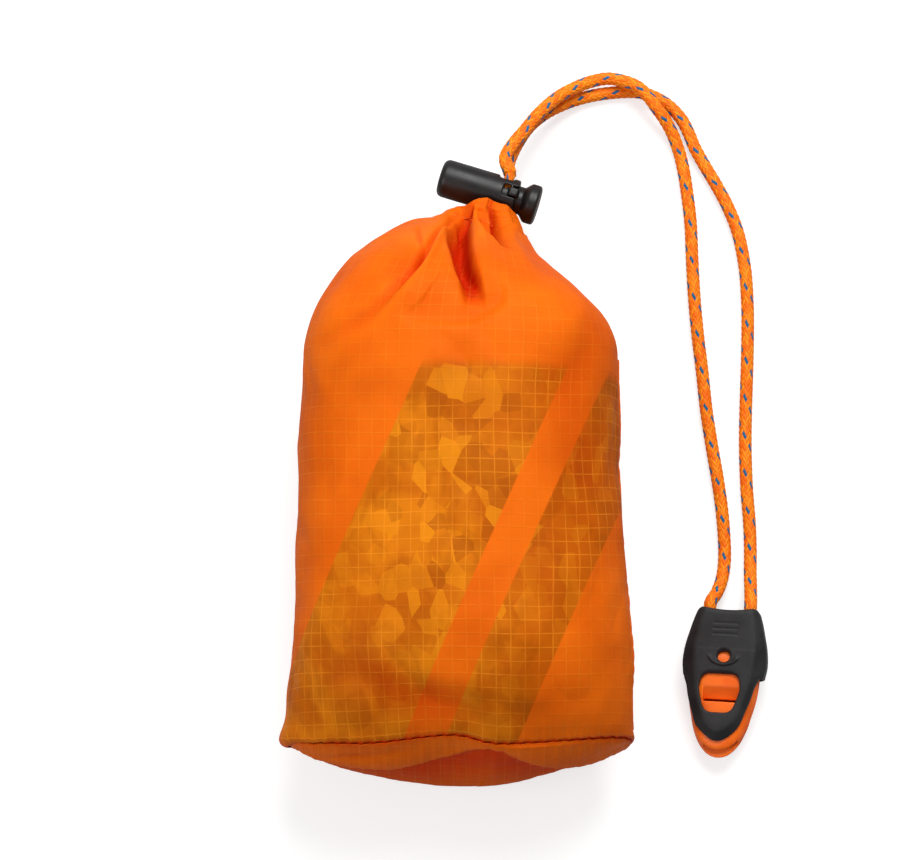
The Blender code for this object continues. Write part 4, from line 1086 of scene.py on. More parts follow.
def make_panel(finish):
    """The bottom panel, from its turned edge to its middle."""
    seam = body_section(BOTTOM_Y)
    start = BOTTOM_Y - GAP
    rows = []
    for k in range(EDGE_ROWS):
        turn = math.pi / 2 * k / EDGE_ROWS
        inset = PANEL_INSET + PANEL_EDGE_ROUNDING * (1 - math.sin(turn))
        ring = section_ring(seam, inset, PANEL_ROUND)
        ring[:, 1] = start - PANEL_EDGE_ROUNDING * (1 - math.cos(turn))
        rows.append(ring)
    rim = section_ring(seam, PANEL_INSET, PANEL_ROUND)
    sizes = np.cos(PANEL_CENTRE_SHARE * np.arange(PANEL_ROWS + 1) / PANEL_ROWS * math.pi / 2)
    for size in sizes:
        y = np.full(PANEL_ROUND, start - PANEL_EDGE_ROUNDING - PANEL_BULGE * (1 - size ** 2))
        z = PANEL_PEAK_Z + (rim[:, 2] - PANEL_PEAK_Z) * size
        rows.append(np.stack([rim[:, 0] * size, y, z], -1))
    base = np.array(rows)
    size = np.concatenate([np.ones(EDGE_ROWS), sizes])[:, None]
    broad, narrow = folds_on(base[..., (0, 2, 1)], PANEL_FOLDS)
    height = (broad + narrow + wrinkle_height(base + 0.4) * 0.6) * unit((1 - size) / 0.02)
    # Painted shade: darker towards the floor, in the crevice under the seam, on the lowered flat
    # part and in the narrow folds
    low_shade = unit((PANEL_SHADE_Z - base[..., 2]) / PANEL_SHADE_Z)
    crevice = np.exp(-((1 - size) * SEAM_HALF_WIDTH / CREVICE_WIDTH)) * 0.35
    plane_shade = 0.8 * unit(-broad / PANEL_PLANE_DEPTH)
    depth = unit(fold_shade_share(0 * broad, narrow, 0.0) + plane_shade + 0.15 * low_shade + crevice)
    grid = base - surface_normals(base) * height[..., None]
    grid[..., 1] += seam_wave(base) * size
    grid[..., 2] = np.maximum(grid[..., 2], 0.0)
    closed = np.concatenate([base, base[:, :1]], axis=1)
    uv = np.stack([closed[..., 0], closed[..., 2] - closed[..., 1] * 0.5], -1)
    panel = skin("bottom_panel", grid, finish, uv, caps="last", depth=depth)
    thicken(panel, CLOTH_THICKNESS)
    return panel


def make_seam_roll(finish):
    """The turned-in seam allowance in the crevice between the wall and the bottom panel."""
    ring = section_ring(body_section(BOTTOM_Y), SEAM_ROLL_INSET, CLOTH_ROUND)
    ring[:, 1] += seam_wave(ring) - GAP / 2 + SEAM_ROLL_DEPTH
    turn = np.arange(CLOTH_ROUND) * (2 * np.pi / CLOTH_ROUND)
    radii = SEAM_ROLL_RADIUS * (1 + 0.22 * np.sin(turn * SEAM_ROLL_PUCKERS))
    grid = tube(ring, radii[:, None], SEAM_ROLL_ROUND, closed=True)
    # The whole roll is painted in shade
    shade = np.full((grid.shape[0] + 1, grid.shape[1]), SEAM_ROLL_SHADE)
    return skin("bottom_seam", grid, finish, closed=True, depth=shade)


panel = declared(make_panel(PLAIN_CLOTH), "sack_bottom_panel", "stuff_sack")
seam_roll = make_seam_roll(PLAIN_CLOTH)
declared(seam_roll, "sack_bottom_seam", "stuff_sack")


# Side seam, hem and stitches

SIDE_SEAM_COLUMNS = 5
SIDE_SEAM_RISE = 0.00040
STITCH_RADIUS = 0.00011
STITCH_PITCH = 0.0026
STITCH_LENGTH = 0.0019
STITCH_RINGS = 7
STITCH_ROUND = 8
HEM_STITCH_ROW = 3


def make_stitches(name, lines, finish):
    """Short sewn stitches of thread along each line of points, all in one mesh."""
    points, faces = [], []
    share = np.linspace(0, 1, STITCH_RINGS)
    radii = STITCH_RADIUS * np.sqrt(np.clip(1 - (2 * share - 1) ** 6, 0.05, 1))
    count = STITCH_ROUND
    for line in lines:
        reach = reach_along(line)
        for first in np.arange(0.0, reach[-1] - STITCH_LENGTH, STITCH_PITCH):
            at = first + share * STITCH_LENGTH
            part = np.stack([np.interp(at, reach, line[:, k]) for k in range(3)], -1)
            start = len(points)
            points.extend(tube(part, radii[:, None], count).reshape(-1, 3).tolist())
            for i in range(STITCH_RINGS - 1):
                for k in range(count):
                    a, b = start + i * count + k, start + i * count + (k + 1) % count
                    faces.append((a, b, b + count, a + count))
            faces.append(tuple(range(start, start + count))[::-1])
            faces.append(tuple(range(len(points) - count, len(points))))
    return placed(name, mesh_of(name, points, faces), finish)


def make_side_seam(finish, thread):
    """The felled seam down the sack's right side, laid on the wall's own folds."""
    normals = surface_normals(cloth_grid)
    places = cloth_base[:neck_row, 0, 1]
    rows = np.flatnonzero((places > BOTTOM_Y + 0.003) & (places < SHOULDER_Y - 0.0005))
    columns = np.arange(-SIDE_SEAM_COLUMNS, SIDE_SEAM_COLUMNS + 1)
    strip, outward = cloth_grid[rows][:, columns], normals[rows][:, columns]
    crown = 1 - (columns / (SIDE_SEAM_COLUMNS + 0.4)) ** 6
    dip = bell((np.abs(columns) - 3.5) / 0.8) * 0.35
    top = strip + outward * (SIDE_SEAM_RISE * (crown - dip))[:, None]
    under = (strip - outward * 0.00005)[:, ::-1]
    grid = np.concatenate([top, under], axis=1)
    seam = skin("side_seam", grid, finish, caps="both")
    lines = [top[:, k] - outward[:, k] * STITCH_RADIUS * 0.2
             for k in (SIDE_SEAM_COLUMNS - 3, SIDE_SEAM_COLUMNS + 3)]
    return seam, make_stitches("side_seam_stitches", lines, thread)


def make_hem_stitches(thread):
    """The sewn line that closes the hem round its cord, on the upper side's folds and below."""
    row = neck_row + HEM_STITCH_ROW
    line = cloth_grid[row] - hem_ways * STITCH_RADIUS * 0.5
    return make_stitches("hem_stitches", [np.concatenate([line, line[:1]])], thread)


def thread_finish():
    finish = Finish("sewing_thread", roughness=0.6)
    place = finish.place()
    twist = finish.noise(place, 0.0004, 1.0)
    finish.colour(twist.between(linear(232, 96, 8), linear(250, 128, 24)))
    finish.bump(twist, 0.00003, 0.5)
    return finish


THREAD = thread_finish()
side_seam, side_stitches = make_side_seam(PLAIN_CLOTH, THREAD)
hem_stitches = make_hem_stitches(THREAD)
declared(side_seam, "sack_side_seam", "stuff_sack")
for piece in (side_stitches, hem_stitches):
    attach(piece, "stuff_sack")


# Rolled sleeping bag and the cord in the hem

ROLL_MARGIN = 0.0030
ROLL_CLEAR = 0.0027
ROLL_TURNS = 4.5
ROLL_START = math.radians(-110)
ROLL_CORE = 0.28
ROLL_TURN_GAP = 0.0007
ROLL_TURN_POINTS = 64
ROLL_ROWS = 96
LOOP_CORD_RADIUS = 0.0015
LOOP_RISE_ANGLE = math.radians(62)
LOOP_LEFT_DROP = 0.0009


def make_roll(finish):
    """The bag of metallised film, rolled up in layers."""
    low_y, high_y = BOTTOM_Y + ROLL_MARGIN, SHOULDER_Y
    steps = round(ROLL_TURNS * ROLL_TURN_POINTS)
    turn = ROLL_TURNS * np.arange(steps + 1) / steps
    across, up = superellipse(ROLL_START + 2 * np.pi * turn, SACK_SQUARENESS)
    rows = []
    for y in np.linspace(low_y, high_y, ROLL_ROWS):
        section = body_section(y)
        low, top = ROLL_CLEAR, section[4] - ROLL_CLEAR
        pitch = (1 - ROLL_CORE) / ROLL_TURNS
        band = pitch - ROLL_TURN_GAP / ((top - low) / 2)
        both = []
        for radius in (1 - pitch * turn, 1 - pitch * turn - band):
            x = radius * (section[2] - ROLL_CLEAR) * across
            z = (low + top) / 2 + radius * (top - low) / 2 * up
            both.append(np.stack([x, np.full_like(x, y), z], -1))
        rows.append(np.concatenate([both[0], both[1][::-1]]))
    grid = np.array(rows)
    crinkle = lattice_noise(grid, 0.006, 21) * 0.00045
    crinkle = np.abs(crinkle + np.abs(lattice_noise(grid, 0.0027, 22)) * 0.0003)
    away = (grid - (0.0, 0.0, SACK_THICKNESS / 2)) * (1, 0, 1)
    away = away / np.maximum(np.linalg.norm(away, axis=-1), 1e-9)[..., None]
    grid = grid - away * crinkle[..., None]
    return skin("bag_roll", grid, finish, caps="both")


def foil_finish():
    finish = Finish("metallised_film", roughness=0.25, metallic=0.9)
    place = finish.place()
    creases = finish.cells(place, 0.0045, feature="DISTANCE_TO_EDGE")
    broad = finish.noise(place, 0.010, 3.0)
    finish.colour(broad.between(linear(214, 176, 110), linear(232, 204, 150)))
    finish.roughness(broad.ease(0.3, 0.7, 0.18, 0.34))
    finish.bump(creases.ease(0.0, 0.10) + broad * 0.4, 0.0004, 0.6)
    return finish


def loop_point(angle, height):
    """A point of the cord's round in the hem, at a height above the middle of the hem."""
    middle = CHANNEL_TOP - LOCK_ACROSS * (CHANNEL_HEIGHT / 2) - LOCK_ALONG * LOOP_SHIFT
    out = LOCK_ALONG * math.cos(angle) + UP * math.sin(angle)
    return middle + out * LOOP_RADIUS + LOCK_ACROSS * height


def make_hem_cord(finish):
    """The cord's round inside the hem. Both ends turn up towards the lock."""
    level, top = -GAP, CHANNEL_HEIGHT / 2 - GAP / 2
    rise = []
    for k in range(7):
        turn = math.pi / 2 * k / 7
        angle = LOOP_END_ANGLE + (LOOP_RISE_ANGLE - LOOP_END_ANGLE) * (1 - math.cos(turn))
        rise.append((angle, top - (top - level) * math.sin(turn)))
    route = [loop_point(angle, height) for angle, height in rise]
    for k in range(19):
        angle = LOOP_RISE_ANGLE + (2 * math.pi - 2 * LOOP_RISE_ANGLE) * k / 18
        drop = LOOP_LEFT_DROP * max(0.0, -math.cos(angle)) ** 2
        route.append(loop_point(angle, level - drop))
    route += [loop_point(-angle, height) for angle, height in reversed(rise)]
    line, reach = smooth_line(route, BRAID_STEP * 1.5)
    ends = np.minimum(reach, reach[-1] - reach)
    share = unit(ends / 0.003)
    radii = CLAMPED_CORD_RADIUS + (LOOP_CORD_RADIUS - CLAMPED_CORD_RADIUS) * share
    return braided_cord("hem_cord", line, reach, radii, finish)


FOIL = foil_finish()
roll = declared(make_roll(FOIL), "sleeping_bag_roll", "stuff_sack")
declared(make_hem_cord(BRAID), "drawcord_channel_loop", "stuff_sack")


# Moulded parts


def smooth_most(a, b, blend):
    """The greater of two distances, with the edge between them rounded over about blend."""
    share = unit(0.5 + 0.5 * (a - b) / blend)
    return b + (a - b) * share + blend * share * (1 - share)


def smooth_least(a, b, blend):
    return -smooth_most(-a, -b, blend)


def cut(solid, hole, blend):
    return smooth_most(solid, -hole, blend)


def box_field(x, y, z, low, high, blend):
    """Distance from a box between two corners, with rounded edges."""
    parts = []
    for value, a, b in zip((x, y, z), low, high):
        parts.append(np.abs(value - (a + b) / 2) - (b - a) / 2)
    return smooth_most(smooth_most(parts[0], parts[1], blend), parts[2], blend)


def outline_distance(x, y, points):
    """Distance from a closed outline, below 0 inside it."""
    x, y = np.broadcast_arrays(x, y)
    best = np.full(x.shape, np.inf)
    inside = np.zeros(x.shape, bool)
    for (x0, y0), (x1, y1) in zip(points, np.roll(points, -1, axis=0)):
        ex, ey = x1 - x0, y1 - y0
        length = ex * ex + ey * ey
        if length == 0:
            continue
        share = unit(((x - x0) * ex + (y - y0) * ey) / length)
        best = np.minimum(best, (x - x0 - share * ex) ** 2 + (y - y0 - share * ey) ** 2)
        if ey:
            inside ^= ((y0 > y) != (y1 > y)) & (x < x0 + (y - y0) * ex / ey)
    return np.where(inside, -1, 1) * np.sqrt(best)


def half_outline(shape):
    """The right half of an outline, smoothly through its (y, half width) points in millimetres."""
    line, _ = smooth_line([(width * MM, y * MM, 0.0) for y, width in shape], 0.0003)
    return line[:, :2]


def outline(shape):
    right = half_outline(shape)
    return np.vstack([right, (right * (-1, 1))[::-1]])


def width_at(shape, y):
    right = half_outline(shape)
    return np.interp(y, right[::-1, 1], right[::-1, 0])


def moulded(name, low, high, step, field, finish, place):
    """A smooth solid wherever field(x, y, z) is below 0, meshed on a grid and put in place."""
    axes = [np.arange(a, b + step, step) for a, b in zip(low, high)]
    value = field(*np.meshgrid(*axes, indexing="ij", sparse=True))
    value = np.broadcast_to(value, [len(a) for a in axes])
    cells = np.array(value.shape) - 1
    total = np.zeros((*cells, 3))
    count = np.zeros(cells)
    for axis in range(3):
        for corner in np.ndindex(2, 2, 2):
            if corner[axis]:
                continue
            ends = []
            for far in (0, 1):
                shift = list(corner)
                shift[axis] = far
                ends.append(value[tuple(slice(o, o + n) for o, n in zip(shift, cells))])
            crossing = (ends[0] < 0) != (ends[1] < 0)
            share = ends[0][crossing] / (ends[0][crossing] - ends[1][crossing])
            spot = np.tile(np.array(corner, float), (len(share), 1))
            spot[:, axis] = share
            total[crossing] += spot
            count += crossing
    used = count > 0
    number = np.full(cells, -1)
    number[used] = np.arange(used.sum())
    points = (np.argwhere(used) + total[used] / count[used][:, None]) * step + np.array(low)
    faces = []
    inside = value < 0
    for axis in range(3):
        u, v = (axis + 1) % 3, (axis + 2) % 3
        first = [slice(None)] * 3
        second = [slice(None)] * 3
        first[axis], second[axis] = slice(0, -1), slice(1, None)
        changes = inside[tuple(first)] != inside[tuple(second)]
        at = np.argwhere(changes)
        at = at[(at[:, u] > 0) & (at[:, v] > 0) & (at[:, u] < cells[u]) & (at[:, v] < cells[v])]
        quad = []
        for du, dv in ((1, 1), (0, 1), (0, 0), (1, 0)):
            cell = at.copy()
            cell[:, u] -= du
            cell[:, v] -= dv
            quad.append(number[tuple(cell.T)])
        quad = np.stack(quad, -1)
        flip = ~inside[tuple(at.T)]
        quad[flip] = quad[flip][:, ::-1]
        faces.append(quad)
    points = points @ place[:3, :3].T + place[:3, 3]
    mesh = mesh_of(name, points.tolist(), np.concatenate(faces).tolist())
    return placed(name, mesh, finish, outward=False)


LOCK_PLACE = np.eye(4)
LOCK_PLACE[:3] = np.stack([LOCK_ALONG, LOCK_ACROSS, UP, LOCK_HOLE], -1)
WHISTLE_PLACE = np.array(WHISTLE)


def moulded_finish(name, dark, light, low, high, grain, gloss):
    """Moulded plastic or rubber: a fine grain, with slight changes of colour and gloss."""
    finish = Finish(name, roughness=high)
    place = finish.place()
    fine = finish.noise(place, 0.00035, 2.0)
    broad = finish.noise(place, 0.005, 3.0)
    finish.colour(broad.between(dark, light))
    finish.roughness((fine * 0.5 + broad * 0.5).ease(*NOISE_RANGE, low, high))
    finish.bump(fine, 0.00002, grain)
    finish.set(specular_ior_level=gloss)
    return finish


BLACK, RUBBER, ORANGE = (
    moulded_finish(name, linear(*dark), linear(*light), low, high, grain, gloss)
    for name, dark, light, low, high, grain, gloss in (
        ("black_plastic", (15, 12, 12), (22, 18, 18), 0.36, 0.46, 0.25, 0.36),
        ("black_rubber", (28, 28, 30), (38, 38, 40), 0.50, 0.62, 0.4, 0.30),
        ("orange_plastic", (238, 98, 10), (246, 110, 18), 0.32, 0.42, 0.15, 0.30),
    )
)


# Cord lock, with the middle of its hole at 0 and its length along x

BARREL_END = -0.0156
BARREL_END_ROUNDING = 0.0018
BARREL_RIM = 0.0031
BARREL_WALL_END = -0.0134
BORE_RADIUS = 0.0037
BUTTON_TRAVEL = 0.0012
BUTTON_CLEARANCE = 0.00012
SLOT_LOW_X = -0.0021
SLOT_HIGH_X = 0.0015
SLOT_HALF_HEIGHT = 0.00285
NOTCH_LOW_X = -0.0004
NOTCH_HALF_WIDTH = 0.0015
NOTCH_SHIFT = 0.0006
NOTCH_LOW_Z = 0.0030
BUTTON_PROFILE = (
    (-7.2, -2), (-7.2, 3.2), (-7, 3.4), (4.5, 3.4), (4.9, 3.75), (5.4, 4.3), (5.85, 4.7),
    (6.3, 4.85), (7.9, 4.85), (8.35, 4.6), (8.6, 4), (8.7, 3), (8.7, -2),
)
BUTTON_DISH_X = 0.0190
BUTTON_DISH_RADIUS = 0.0107
CATCH_LOW = (0.0010, -0.0005, 0.0024)
CATCH_HIGH = (0.0034, 0.0017, 0.0043)
LOCK_STEP = 0.00013


def cut_slot(solid, x, z, low, high):
    """Cuts the slot that the two strands go through."""
    across = np.abs(x - (low + high) / 2) - (high - low) / 2
    return cut(solid, smooth_most(across, np.abs(z) - SLOT_HALF_HEIGHT, 0.0012), 0.0003)


def barrel_field(x, y, z):
    radius = np.hypot(y, z)
    solid = smooth_most(radius - BARREL_RADIUS, BARREL_END - x, BARREL_END_ROUNDING)
    solid = smooth_most(solid, x - BARREL_RIM, 0.0004)
    solid = cut(solid, smooth_most(radius - BORE_RADIUS, BARREL_WALL_END - x, 0.0006), 0.0002)
    solid = cut_slot(solid, x, z, SLOT_LOW_X, SLOT_HIGH_X)
    notch = smooth_most(NOTCH_LOW_X - x, np.abs(y - NOTCH_SHIFT) - NOTCH_HALF_WIDTH, 0.0008)
    return cut(solid, np.maximum(notch, NOTCH_LOW_Z - z), 0.0003)


def plunger_field(x, y, z):
    solid = outline_distance(x, np.hypot(y, z), np.array(BUTTON_PROFILE) * MM) + BUTTON_CLEARANCE
    dish = np.sqrt((x - BUTTON_DISH_X) ** 2 + y * y + z * z) - BUTTON_DISH_RADIUS
    solid = cut_slot(cut(solid, dish, 0.0005), x, z, -SLOT_HIGH_X, SLOT_HIGH_X + BUTTON_TRAVEL)
    catch = box_field(x, y, z, CATCH_LOW, CATCH_HIGH, 0.0006)
    return smooth_least(solid, catch, 0.0003)


low, high = (-0.0160, -0.0050, -0.0050), (0.0036, 0.0050, 0.0050)
barrel = moulded("lock_barrel", low, high, LOCK_STEP, barrel_field, BLACK, LOCK_PLACE)
low, high = (-0.0076, -0.0052, -0.0052), (0.0093, 0.0052, 0.0052)
button = moulded("lock_button", low, high, LOCK_STEP, plunger_field, BLACK, LOCK_PLACE)
declared(barrel, "cord_lock_barrel", "cord_lock")
declared(button, "cord_lock_plunger", "lock_button")

SPRING_WIRE_RADIUS = 0.0003
SPRING_RADIUS = 0.0027
SPRING_TURNS = 5.5
SPRING_START = -0.0128
SPRING_END = -0.0078
SPRING_POINTS = 320
SPRING_ROUND = 14


def steel_finish():
    finish = Finish("spring_steel", roughness=0.3, metallic=1.0)
    place = finish.place()
    drawn = finish.noise(place, 0.0006, 3.0)
    finish.colour(drawn.ease(0.3, 0.7).mix((0.50, 0.50, 0.52, 1.0), (0.66, 0.66, 0.68, 1.0)))
    finish.roughness(drawn.ease(0.3, 0.7, 0.22, 0.38))
    return finish


def make_spring(finish):
    """The compression spring, with closer turns at both ends."""
    turn = np.linspace(0, 1, SPRING_POINTS)
    angle = 2 * np.pi * SPRING_TURNS * turn
    pitch = 0.25 + 0.75 * unit(np.minimum(turn, 1 - turn) / 0.16)
    along = SPRING_START + (SPRING_END - SPRING_START) * np.cumsum(pitch) / np.sum(pitch)
    local = np.stack([along, SPRING_RADIUS * np.cos(angle), SPRING_RADIUS * np.sin(angle)], -1)
    line = local @ LOCK_PLACE[:3, :3].T + LOCK_PLACE[:3, 3]
    wire = tube(line, np.full((SPRING_POINTS, 1), SPRING_WIRE_RADIUS), SPRING_ROUND)
    return skin("lock_spring", wire, finish, caps="both")


spring = declared(make_spring(steel_finish()), "cord_lock_spring", "cord_lock")
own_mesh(spring)

# Whistle, with the middle of its cord end at 0 and its mouth towards -y. Shapes are (y, half width)
# points in millimetres.

COVER_TOP = 0.00475
COVER_SHAPE = (
    (0, 6.9), (-3, 7.9), (-6, 8.7), (-9.5, 9.5), (-13, 9.8), (-16, 9.4),
)
COVER_OPEN_END = -0.0162
COVER_ROUNDING = 0.0024
COVER_LOW_ROUNDING = 0.0040
END_DIP = 0.0007
END_DIP_HALF_WIDTH = 0.0062
TONGUE_SHAPE = (
    (-10, 9), (-16, 8.8), (-18.5, 8), (-21.5, 7.3), (-25, 6.1), (-28, 5), (-30.2, 3.1),
    (-31.4, 1.2), (-31.6, 0),
)
PLATEAU_SHAPE = (
    (1, 5.2), (-3, 6), (-7, 6.6), (-11, 6.9), (-15, 6.6), (-20, 5.6), (-23, 4.7), (-25.8, 3.6),
    (-27.8, 2.1), (-28.7, 0.8), (-28.9, 0),
)
WINDOW_SHAPE = (
    (-15, 3.8), (-19.2, 4.7), (-24.9, 3.1),
)
WINDOW_MIDDLE = -0.01995
WINDOW_HALF_LENGTH = 0.0049
WINDOW_CORNER = 0.0018
WINDOW_SLOPE = 0.95
LEAN = 0.018
TONGUE_SHIFT = 0.0004
BODY_SHAPE = (
    (-8, 6), (-9.2, 7.1), (-12.5, 8.1), (-16, 8.5), (-21, 8.15), (-26, 7.1), (-29.2, 6),
    (-31.9, 4.6), (-33.8, 3), (-34.6, 1.7), (-34.9, 0.6), (-34.95, 0),
)
BODY_TOP = 0.00345
BODY_TIP_TOP = 0.0019
BODY_TAPER_START = -0.0180
BODY_ROUNDING = 0.0026
BODY_EXTRA_ROUNDING = 0.0024
ROUNDING_END = -0.0315
ROUNDING_RUN = 0.0060
MOUTH_START = -0.0285
SPLIT_Z = 0.0003
UPPER_SETBACK = 0.0015
WINDWAY_HEIGHT = 0.0012
WINDWAY_HALF_WIDTH = 0.0039
WINDWAY_END = -0.0222
LABIUM_EDGE_Y = -0.0215
LABIUM_TOP_Y = -0.0186
LABIUM_EDGE_Z = 0.0016
CHAMBER_START = -0.0219
CHAMBER_END = -0.0098
CHAMBER_HALF_WIDTH = 0.0060
CHAMBER_FLOOR_Z = -0.0024
BEVEL_SLOPE = 0.72
BEVEL_EDGE = 0.0005
BEVEL_DEPTH = 0.0014
TONGUE_ROOT_Z = 0.0006
AIR_HOLE_Y = -0.0114
AIR_HOLE_RADIUS = 0.00165
AIR_HOLE_TAPER = 0.32
AIR_HOLE_SLANT = 0.42
LIP_RADIUS = 0.0028
LIP_HALF_WIDTH = 0.00035
GROOVE_START = -0.00415
GROOVE_PITCH = 0.0013
GROOVE_RUN = 0.0004
GROOVE_HALF_WIDTH = 0.0030
GROOVE_DEPTH = 0.00025
KNOT_POCKET_LOW = (-0.0071, -0.0090, -0.0024)
KNOT_POCKET_HIGH = (0.0071, -COVER_END_WALL, 0.0024)
KNOT_RADIUS = 0.0021
KNOT_LOOP = 0.0008
KNOT_LOOP_WAVE = 0.00045
KNOT_DEPTH_WAVE = 0.00055
KNOT_CORD_RADIUS = 0.00062
KNOT_ROUND = 20
WHISTLE_STEP = 0.00015


def body_field(x, y, z, setback=0.0):
    """The whole orange body. setback is how far its mouth end is drawn back."""
    last = BODY_SHAPE[-1][0] * MM
    at = y - setback * unit((MOUTH_START - y) / (MOUTH_START - last)) ** 2
    ease = unit((BODY_TAPER_START - at) / (BODY_TAPER_START - last)) ** 2
    top = BODY_TOP + (BODY_TIP_TOP - BODY_TOP) * ease
    rounding = BODY_ROUNDING + BODY_EXTRA_ROUNDING * unit((y - ROUNDING_END) / ROUNDING_RUN)
    side = outline_distance(x - LEAN * y, at, outline(BODY_SHAPE))
    return smooth_most(side, np.abs(z) - top, rounding)


def cover_field(x, y, z):
    body = body_field(x, y, z)
    x = x - LEAN * y
    width = width_at(COVER_SHAPE, y)
    rounding = np.where(z < 0, COVER_LOW_ROUNDING, COVER_ROUNDING)
    out, up = np.abs(x) - width + rounding, np.abs(z) - COVER_TOP + rounding
    corner = np.hypot(np.maximum(out, 0), np.maximum(up, 0))
    sleeve = corner + np.minimum(np.maximum(out, up), 0) - rounding
    dip = END_DIP * unit(1 - (x / END_DIP_HALF_WIDTH) ** 2)
    sleeve = smooth_most(sleeve, y + dip, 0.0014)
    sleeve = smooth_most(sleeve, COVER_OPEN_END - y, 0.0004)
    tongue = outline_distance(x + TONGUE_SHIFT, y, outline(TONGUE_SHAPE))
    tongue = smooth_most(tongue, TONGUE_ROOT_Z - z, 0.0002)
    solid = smooth_least(sleeve, np.maximum(tongue, z - COVER_TOP), 0.0004)
    plateau = outline_distance(x, y, outline(PLATEAU_SHAPE))
    slope = (z - COVER_TOP + BEVEL_SLOPE * plateau) / math.hypot(1, BEVEL_SLOPE)
    solid = smooth_most(solid, smooth_most(z - COVER_TOP, slope, BEVEL_EDGE), 0.0005)
    solid = smooth_most(solid, slope - BEVEL_DEPTH, 0.0003)
    deeper = np.clip(COVER_TOP - z, 0, BEVEL_DEPTH)
    hole_side = np.hypot(x, y - AIR_HOLE_Y + AIR_HOLE_SLANT * deeper) + AIR_HOLE_TAPER * deeper
    lip = np.hypot(x / 1.25, y - AIR_HOLE_Y - 0.0006)
    below_hole = unit((AIR_HOLE_Y - y) / 0.0012 + 0.2)
    rib = np.abs(lip - LIP_RADIUS) - LIP_HALF_WIDTH
    rib = smooth_most(rib, z - COVER_TOP + 0.0003 - 0.0006 * below_hole, 0.0003)
    solid = smooth_least(solid, np.maximum(rib, 0.0035 - z), 0.0003)
    solid = cut(solid, body - GAP, 0.00015)
    sloped = y + deeper * WINDOW_SLOPE * (y > WINDOW_MIDDLE)
    along = np.abs(sloped - WINDOW_MIDDLE) - WINDOW_HALF_LENGTH
    window = smooth_most(np.abs(x + TONGUE_SHIFT) - width_at(WINDOW_SHAPE, y), along, WINDOW_CORNER)
    solid = cut(solid, np.maximum(window, -z), 0.0004)
    solid = cut(solid, np.maximum(hole_side - AIR_HOLE_RADIUS, -z), 0.0004)
    for k in range(3):
        start = GROOVE_START - GROOVE_PITCH * k
        low = (-GROOVE_HALF_WIDTH, start, COVER_TOP - GROOVE_DEPTH)
        high = (GROOVE_HALF_WIDTH, start + GROOVE_RUN, COVER_TOP + 0.001)
        solid = cut(solid, box_field(x, y, z, low, high, 0.0003), 0.0002)
    pocket = box_field(x, y, z, KNOT_POCKET_LOW, KNOT_POCKET_HIGH, 0.0008)
    solid = cut(solid, pocket, 0.0002)
    for side in (-1, 1):
        bore = np.hypot(x - side * CORD_HOLE_SPACING / 2, z) - CORD_RADIUS - CORD_CLEARANCE
        solid = cut(solid, np.maximum(bore, CORD_BORE_END - y), 0.0005)
    return solid


def upper_field(x, y, z):
    solid = smooth_most(body_field(x, y, z, UPPER_SETBACK), SPLIT_Z + GAP / 2 - z, 0.0003)
    far = 0.02
    profile = np.array((
        (LABIUM_TOP_Y, far), (LABIUM_TOP_Y, BODY_TOP), (LABIUM_EDGE_Y, LABIUM_EDGE_Z),
        (LABIUM_EDGE_Y, -GAP), (WINDWAY_END, -GAP), (WINDWAY_END, far),
    ))
    ramp = np.maximum(outline_distance(y, z, profile), np.abs(x) - 0.0045)
    solid = cut(solid, ramp, 0.00025)
    windway = box_field(x, y, z, (-WINDWAY_HALF_WIDTH, -0.040, -GAP),
                        (WINDWAY_HALF_WIDTH, WINDWAY_END + GAP, SPLIT_Z + WINDWAY_HEIGHT), 0.0003)
    return cut(solid, windway, 0.00025)


def lower_field(x, y, z):
    solid = smooth_most(body_field(x, y, z), z - SPLIT_Z + GAP / 2, 0.0003)
    chamber = box_field(x, y, z, (-CHAMBER_HALF_WIDTH, CHAMBER_START, CHAMBER_FLOOR_Z),
                        (CHAMBER_HALF_WIDTH, CHAMBER_END, SPLIT_Z + 0.002), 0.0012)
    return cut(solid, chamber, 0.0003)


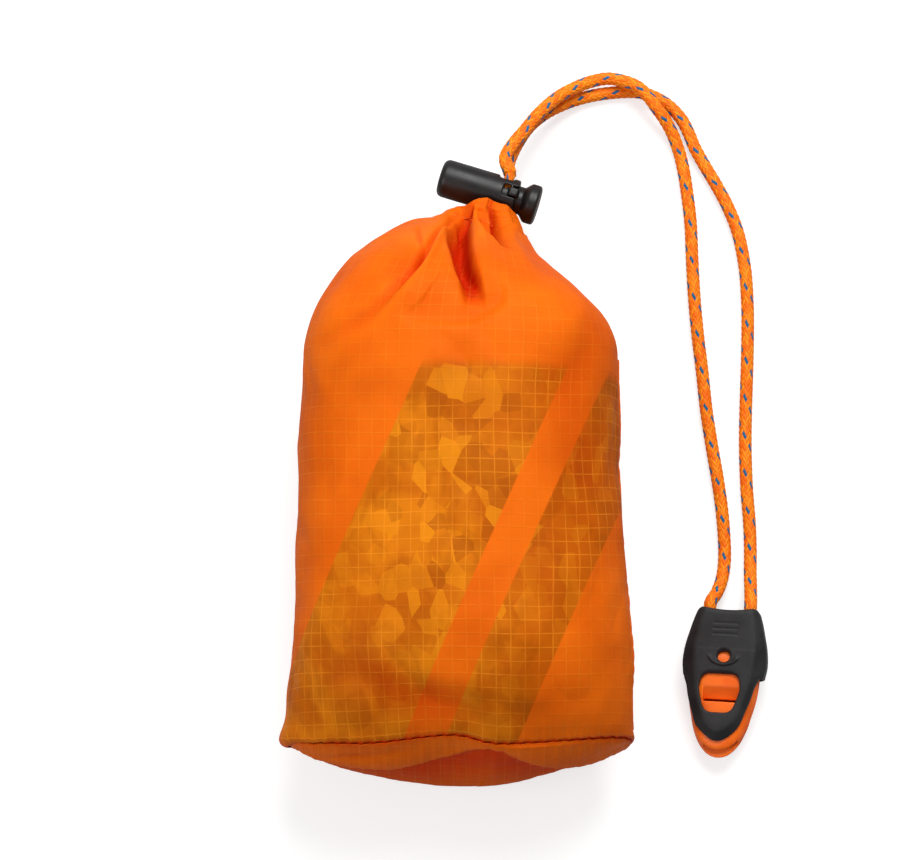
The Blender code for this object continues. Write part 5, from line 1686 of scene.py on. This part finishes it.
def make_knot(name, side, finish):
    """A small overhand knot in the cord's end."""
    turn = np.linspace(0, 2 * np.pi, 200, endpoint=False)
    out = KNOT_LOOP + KNOT_LOOP_WAVE * np.cos(3 * turn)
    local = np.stack([
        side * CORD_HOLE_SPACING / 2 + out * np.cos(2 * turn),
        -COVER_END_WALL - GAP - KNOT_RADIUS + KNOT_DEPTH_WAVE * np.sin(3 * turn),
        out * np.sin(2 * turn),
    ], -1)
    line = local @ WHISTLE_PLACE[:3, :3].T + WHISTLE_PLACE[:3, 3]
    around = 2 * np.pi * np.arange(KNOT_ROUND) / KNOT_ROUND
    strand = 1 + 0.10 * np.sin(around * 8 + reach_along(line)[:, None] * 5000)
    grid = tube(line, KNOT_CORD_RADIUS * strand, KNOT_ROUND, closed=True)
    return skin(name, grid, finish, closed=True)


def knot_finish():
    finish = Finish("knotted_cord", roughness=0.55)
    place = finish.place()
    yarn = finish.cells(place, 0.0005)
    blue = finish.noise(place, 0.0016, 1.0).ease(0.62, 0.66)
    # Painted highlight on each yarn's crown and painted shade between the yarns
    orange = yarn.ease(0.2, 0.6).mix(linear(255, 160, 20), linear(226, 78, 0))
    finish.colour(blue.mix(orange, linear(12, 104, 150)))
    finish.bump(yarn, 0.00006, 0.6)
    return finish


low, high = (-0.0104, -0.0318, -0.0052), (0.0104, 0.0006, 0.0056)
cover = moulded("whistle_sleeve", low, high, WHISTLE_STEP, cover_field, RUBBER, WHISTLE_PLACE)
low, high = (-0.0090, -0.0354, -0.0040), (0.0090, -0.0076, 0.0040)
upper_shell = moulded("whistle_roof", low, high, WHISTLE_STEP, upper_field, ORANGE, WHISTLE_PLACE)
lower_shell = moulded("whistle_tray", low, high, WHISTLE_STEP, lower_field, ORANGE, WHISTLE_PLACE)
declared(cover, "whistle_cover", "whistle")
declared(upper_shell, "whistle_upper_shell", "whistle")
declared(lower_shell, "whistle_lower_shell", "whistle")
KNOTTED = knot_finish()
declared(make_knot("knot_left", -1, KNOTTED), "cord_knot_left", "whistle")
declared(make_knot("knot_right", 1, KNOTTED), "cord_knot_right", "whistle")

bpy.context.scene.view_settings.view_transform = "Standard"
